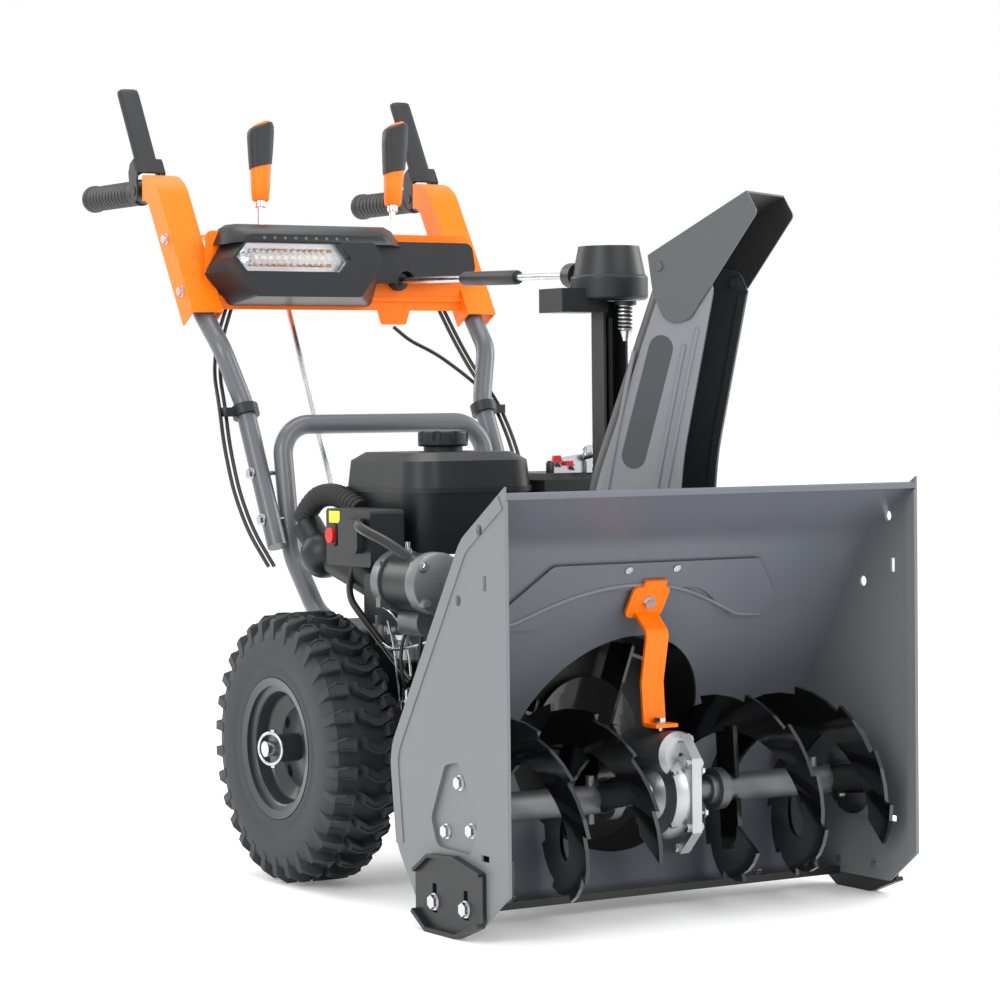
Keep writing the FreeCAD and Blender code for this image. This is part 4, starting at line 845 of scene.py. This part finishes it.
for side, name in ((-1, "right"), (1, "left")):
    raised = Matrix.Translation(spot(side * 212, 1000, 868)) @ Matrix.Rotation(PADDLE_LIFT, 4, "X")
    channel = bmesh.new()
    loft(channel, [along_paddle(raised, PADDLE_SECTION, 17), along_paddle(raised, PADDLE_SECTION, 143),
                   along_paddle(raised, PADDLE_SECTION, 148, 0.94, 0.97),
                   along_paddle(raised, PADDLE_SECTION, 150, 0.85, 0.93)])
    loft(channel, [along_paddle(raised, BRIDGE, 16), along_paddle(raised, BRIDGE, 38)])
    for across in (-20.9, 18.5):
        loft(channel, [[raised @ (Vector((x, y, z)) * MM) for y, z in PADDLE_EAR]
                       for x in (across, across + EAR_THICK)])
        pivot = raised @ (Vector((across + EAR_THICK / 2, 0, 0)) * MM)
        turned(channel, EAR_BOSS, pivot, X_WAY, 20)
    paddle = add_form("squeeze_paddle_" + name, channel, PLASTIC["soft"],
                       name + "_paddle")
    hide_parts("paddle_" + name)

# %% [markdown]
# ## The electric starter
# The starter is a dark drawn tube between two die-cast ends, held by four long screws that run in
# small bosses. The frame's solid is one piece, so three pieces in three finishes take its place.

# %% Starter motor
STARTER = spot(-186, 292, 373)
SCREW_ANGLES = (0.8, 2.4, 3.95, 5.5)
SCREW_CIRCLE = 30


def on_starter(x, back, z):
    """A point from millimetres off the middle of the starter's front end."""
    return STARTER + Vector((x, back, z)) * MM


tube_form = bmesh.new()
turned(tube_form, [(1, 20), (34, 20), (34, 88), (1, 88)], STARTER, Y_WAY, 64)
starter = add_form("starter_tube", tube_form, PLASTIC["black"], "machine")
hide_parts("starter_motor")
ends = bmesh.new()
turned(ends, [(1, 0), (32, 0), (35, 1.2), (36.5, 4), (36.5, 19), (34.5, 21), (1, 21)], STARTER, Y_WAY, 64)
turned(ends, [(1, 82), (37, 82), (37, 99), (31, 108), (26, 116), (1, 116)], STARTER, Y_WAY, 64)
screws = bmesh.new()
for angle in SCREW_ANGLES:
    x, z = SCREW_CIRCLE * math.cos(angle), SCREW_CIRCLE * math.sin(angle)
    turned(ends, [(0.5, -4), (4.6, -4), (6.5, 0), (6.5, 22), (0.5, 22)], on_starter(x, 0, z), Y_WAY, 16)
    plate(screws, circle(4.2, 6), on_starter(x, -4, z), -Y_WAY, 3.4)
plate(ends, [(-4, -30), (44, -30), (44, 24), (-4, 24)], on_starter(12, 84, 0), Y_WAY, 10)
turned(ends, [(0.5, 0), (17, 0), (17, 46), (14, 50), (0.5, 50)], on_starter(6, 36, -47), Y_WAY, 32)
add_form("starter_castings", ends, METAL["block"], "machine")
turned(screws, [(0.5, 0), (5, 0), (5, 6), (3, 6), (3, 14), (0.5, 14)], on_starter(-8, 60, 33), Z_WAY, 18)
add_form("starter_screws", screws, METAL["zinc"], "machine")

# %% [markdown]
# ## Carburettor, linkages and wiring
# Between the wheel and the housing the engine's small parts show: a cast carburettor with its round
# bowl, the throttle and governor rods, bolts with washers, the starter's thick lead and four wires.
# Each is a turned piece, a plate or a wire along a few listed points.

# %% Small engine parts
CARB = spot(-140, 452, 300)
carb = bmesh.new()
turned(carb, [(0.5, -30), (16, -30), (20, -26), (20, -10), (16, -8), (16, -4), (22, -2), (22, 4), (14, 8),
              (14, 16), (0.5, 16)], CARB, Z_WAY, 40)
turned(carb, [(0.5, -34), (17, -34), (17, -20), (13, -18), (13, 14), (17, 16), (17, 24), (0.5, 24)],
       CARB + Vector((0, 0, 8)) * MM, Y_WAY, 32)
plate(carb, [(-24, -18), (24, -18), (24, 18), (-24, 18)], CARB + Vector((0, 26, 8)) * MM, Y_WAY, 6)
turned(carb, [(0.5, 0), (15, 0), (15, 34), (12, 38), (0.5, 38)], spot(-132, 378, 262), X_WAY, 32)
plate(carb, [(-30, -24), (30, -24), (30, 20), (10, 34), (-30, 26)], spot(-96, 400, 262), -X_WAY, 8)
add_form("carburettor", carb, METAL["cast"], "machine")

ENGINE_BOLTS = [(-120, 380, 240), (-120, 424, 244), (-120, 384, 284), (-120, 420, 290), (-150, 446, 262),
                (-118, 500, 262)]
RODS = [
    [(-164, 400, 258), (-166, 400, 300), (-164, 440, 332), (-160, 470, 336)],
    [(-162, 430, 222), (-166, 430, 262), (-166, 436, 296), (-160, 460, 320)],
    [(-158, 372, 300), (-170, 392, 292), (-172, 440, 286), (-160, 486, 300)],
]
ROD_RADIUS = 1.6
fixings = bmesh.new()
for x, back, z in ENGINE_BOLTS:
    plate(fixings, circle(6, 6), spot(x, back, z), -X_WAY, 5)
    turned(fixings, [(0.5, -1), (8.5, -1), (8.5, 0.4), (0.5, 0.4)], spot(x, back, z), -X_WAY, 20)
for line in RODS:
    fixings.from_mesh(route_curve("rod", [spot(*point) for point in line], ROD_RADIUS))
turned(fixings, [(0.5, 0), (7, 0), (7, 10), (5, 12), (5, 26), (0.5, 26)], spot(-158, 420, 216), Z_WAY, 20)
add_form("engine_fixings", fixings, METAL["zinc"], "machine")

WIRES = [
    (6.2, [(-210, 430, 440), (-226, 418, 440), (-228, 392, 432), (-216, 362, 420), (-200, 338, 402),
           (-192, 326, 388)]),
    (2.6, [(-170, 340, 338), (-176, 352, 320), (-172, 366, 282), (-160, 390, 244), (-150, 402, 220)]),
    (2.2, [(-146, 410, 330), (-172, 402, 312), (-174, 408, 270), (-160, 416, 236), (-150, 440, 226)]),
    (4.4, [(-150, 560, 380), (-170, 548, 352), (-168, 500, 318), (-164, 452, 284), (-152, 420, 250)]),
    (3.4, [(-160, 480, 388), (-176, 470, 360), (-172, 440, 344), (-150, 420, 336)]),
]
wires = bmesh.new()
for radius, line in WIRES:
    wires.from_mesh(route_curve("wire", [spot(*point) for point in line], radius))
add_form("engine_wires", wires, PLASTIC["cable"], "machine")

# %% [markdown]
# ## Top of the console moulding
# The black moulding rolls back over the top edge of the orange panel, with a row of small vent holes
# above the headlight. It is lofted from its back edge to its front edge. The vents are one dimple
# repeated by the row tree.

# %% Console crown and vents
crown = bmesh.new()
loft(crown, [[spot(x, back, z) for x, z in outline] for back, outline in (
    (858, [(-190, 790), (-180, 811), (-170, 817), (56, 817), (68, 811), (84, 790)]),
    (830, [(-188, 790), (-178, 811), (-168, 817), (52, 817), (64, 811), (80, 790)]),
    (806, [(-180, 792), (-172, 804), (-164, 808), (34, 808), (44, 804), (54, 792)]),
    (801, [(-174, 792), (-167, 800), (-160, 803), (28, 803), (36, 800), (44, 792)]))])
add_form("console_crown", crown, PLASTIC["black"], "machine")
vent_form = bmesh.new()
turned(vent_form, [(0.2, -1), (2.1, -1), (2.1, 0.5), (1.5, 0.7), (1.2, 0.1), (0.2, 0.1)], Vector(),
       -Y_WAY, 16)
vent = sample("vent", vent_form)
row = made_by(row_tree, "vents", METAL["block"], Piece=vent, Count=9, Start=spot(-142, 801, 798),
              End=spot(-20, 801, 798))
add_piece("console_vents", row, METAL["block"], "machine")

# %% [markdown]
# ## Chute crank
# A thin zinc rod runs from the gear head to the console. A long black sleeve covers its middle, and
# its knob stands on a short arm behind the console. The frame's crank is one solid, so a rod and two
# black mouldings take its place and turn with it, in a rubber ring that stays on the console.

# %% Crank rod, sleeve and knob
CRANK_END, CRANK_HOLE = spot(12, 312, 731), spot(86, 853, 747)
crank_way = (CRANK_HOLE - CRANK_END).normalized()
crank_reach = (CRANK_HOLE - CRANK_END).length / MM
across = crank_way.cross(Z_WAY).normalized()
elbow = CRANK_END + crank_way * ((crank_reach + 78) * MM)
rod_form = bmesh.new()
turned(rod_form, [(0.3, -10), (7, -10), (7, 18), (4.2, 20), (4.2, crank_reach + 82),
                  (0.3, crank_reach + 82)], CRANK_END, crank_way, 24)
turned(rod_form, [(0.3, -4), (4.2, -4), (4.2, 40), (0.3, 40)], elbow, across, 24)
crank_rod = add_form("crank_rod", rod_form, METAL["zinc"], "crank")
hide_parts("chute_crank")
grip_form = bmesh.new()
turned(grip_form, [(4, -392), (8, -392), (9, -389), (9, -300), (8.4, -296), (9, -292), (9, -232),
                   (7.6, -226), (4, -226)], CRANK_HOLE, crank_way, 32)
turned(grip_form, [(0.3, -8), (8, -8), (9, -5), (8.2, 30), (9, 66), (7, 70), (0.3, 70)],
       elbow + across * (39 * MM), crank_way, 32)
add_form("crank_sleeve", grip_form, PLASTIC["soft"], "crank")
collar_form = bmesh.new()
turned(collar_form, [(5.2, -13), (10, -13), (13.5, -8), (13.5, 6), (5.2, 6)], CRANK_HOLE, crank_way, 32)
add_form("crank_grommet", collar_form, PLASTIC["rubber"], "machine")

# %% [markdown]
# ## Throttle controls beside the tank
# To the left of the tank the top of the engine shows: a black shroud, a zinc control plate with its
# screws, a choke lever, two small red tabs and the throttle's cable.

# %% Throttle controls
shroud = bmesh.new()
loft(shroud, [[spot(x, back, z) for x, back in outline] for z, outline in (
    (400, [(38, 412), (142, 412), (142, 552), (38, 552)]),
    (486, [(34, 410), (146, 410), (146, 556), (34, 556)]),
    (494, [(40, 418), (138, 418), (138, 548), (40, 548)]))])
plate(shroud, slot_outline(12, 44), spot(104, 452, 494), Z_WAY, 12)
turned(shroud, [(0.4, 0), (9, 0), (9, 12), (7, 15), (0.4, 15)], spot(66, 440, 494), Z_WAY, 24)
add_form("engine_shroud", shroud, PLASTIC["black"], "machine")
controls = bmesh.new()
plate(controls, [(-26, -9), (26, -9), (26, 9), (12, 14), (-26, 9)], spot(82, 424, 503), -Y_WAY, 2)
plate(controls, [(-4, -14), (4, -14), (4, 18), (-4, 18)], spot(104, 418, 508), -Y_WAY, 2)
for x, z in ((64, 505), (84, 501), (100, 512)):
    plate(controls, circle(4.4, 6), spot(x, 420, z), -Y_WAY, 5)
turned(controls, [(9, 0), (12, 0), (12, 3), (9, 3)], spot(112, 428, 516), -Y_WAY, 24)
add_form("throttle_plate", controls, METAL["zinc"], "machine")
tabs = bmesh.new()
plate(tabs, [(-7, -4), (7, -4), (5, 4), (-5, 4)], spot(52, 412, 512), -Y_WAY, 4)
plate(tabs, [(-5, -3), (5, -3), (5, 3), (-5, 3)], spot(70, 412, 506), -Y_WAY, 4)
add_form("throttle_tabs", tabs, PLASTIC["red"], "machine")
throttle_line = route_curve("throttle cable", [spot(96, 416, 512), spot(120, 400, 520), spot(140, 420, 508),
                                               spot(146, 470, 496), spot(140, 540, 480)], 2.6)
add_piece("throttle_cable", throttle_line, PLASTIC["cable"], "machine")

# %% [markdown]
# ## The auger gearbox
# The gearbox is cast in two halves that meet at an eight-sided bolted flange. Each half is a round
# bowl that narrows to a hub on the shaft, and a short barrel above holds the worm. The frame's halves
# are a plain rounded block, so turned bowls, a flange plate, ribs and bolt heads take their place.

# %% Gearbox
FLANGE = [(-34, 70), (34, 70), (56, 44), (56, -40), (30, -66), (-30, -66), (-56, -40), (-56, 44)]
case = bmesh.new()
turned(case, [(14, -35), (18, -35), (19, -27), (24, -24), (30, -17), (46, -13), (52, -4), (52, 6),
              (14, 6)], AUGER_CENTRE, X_WAY, 64)
turned(case, [(14, 12), (50, 12), (44, 20), (28, 24), (19, 27), (18, 34), (14, 34)], AUGER_CENTRE,
       X_WAY, 64)
turned(case, [(2, -34), (20, -34), (26, -29), (26, 52), (19, 58), (2, 58)],
       AUGER_CENTRE + Z_WAY * (47 * MM), Y_WAY, 48)
plate(case, FLANGE, AUGER_CENTRE + X_WAY * (1 * MM), X_WAY, 13, Z_WAY)
rib_place = AUGER_CENTRE - X_WAY * (14 * MM)
for angle in (0.6, 1.57, 2.54, 3.9, 5.5):
    way = Vector((0, math.cos(angle), math.sin(angle)))
    plate(case, [(-2.2, 18), (2.2, 18), (2.2, 50), (-2.2, 50)], rib_place, X_WAY, 16, way)
gear_case = add_form("gear_case", case, METAL["cast"], "machine")
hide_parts("gearbox_half_right", "gearbox_half_left")
BOLT_PLACES = [(-30, 63), (30, 63), (49, 38), (49, -34), (26, -59), (-26, -59), (-49, -34), (-49, 38)]
heads = bmesh.new()
for y, z in BOLT_PLACES:
    for x, way in ((1, -X_WAY), (14, X_WAY)):
        plate(heads, circle(5.2, 6), AUGER_CENTRE + Vector((x, y, z)) * MM, way, 4.5)
add_form("gear_case_bolts", heads, METAL["zinc"], "machine")

# %% [markdown]
# ## Pressed arch behind the gearbox
# The sloped back of the housing has a rounded bead pressed into it, an arch with short flats at its
# ends. Its points are dropped onto the sheet by casting rays backwards, so the bead follows the fold.

# %% Pressed arch
BEAD_LIFT = 0.2
ARCH_MIDDLE = -30
ARCH_FOOT = 331
ARCH_RISE = 43
ARCH_HALF = 156
sheet = NODES["auger_housing"].data
skin = bvhtree.BVHTree.FromPolygons([tuple(corner.co) for corner in sheet.vertices],
                                    [tuple(face.vertices) for face in sheet.polygons])


def onto_sheet(x, z):
    """The point of the housing's back that lies straight behind (x, z)."""
    hit = skin.ray_cast(spot(x, 30, z), Y_WAY)
    return hit[0] - Y_WAY * (BEAD_LIFT * MM)


rise = [(ARCH_MIDDLE + x, ARCH_FOOT + ARCH_RISE * (1 - (x / ARCH_HALF) ** 2)) for x in range(-140, 141, 28)]
arch = [(-224, ARCH_FOOT), (-190, ARCH_FOOT), *rise, (130, ARCH_FOOT), (164, ARCH_FOOT)]
# The bead wears the side plates' lighter paint, not the panel's: a pressed bead with a painted highlight
# along its crest.
bead = route_curve("arch bead", [onto_sheet(x, z) for x, z in arch], 2.6)
add_piece("pressed_arch", bead, PAINT["plate"], "machine")
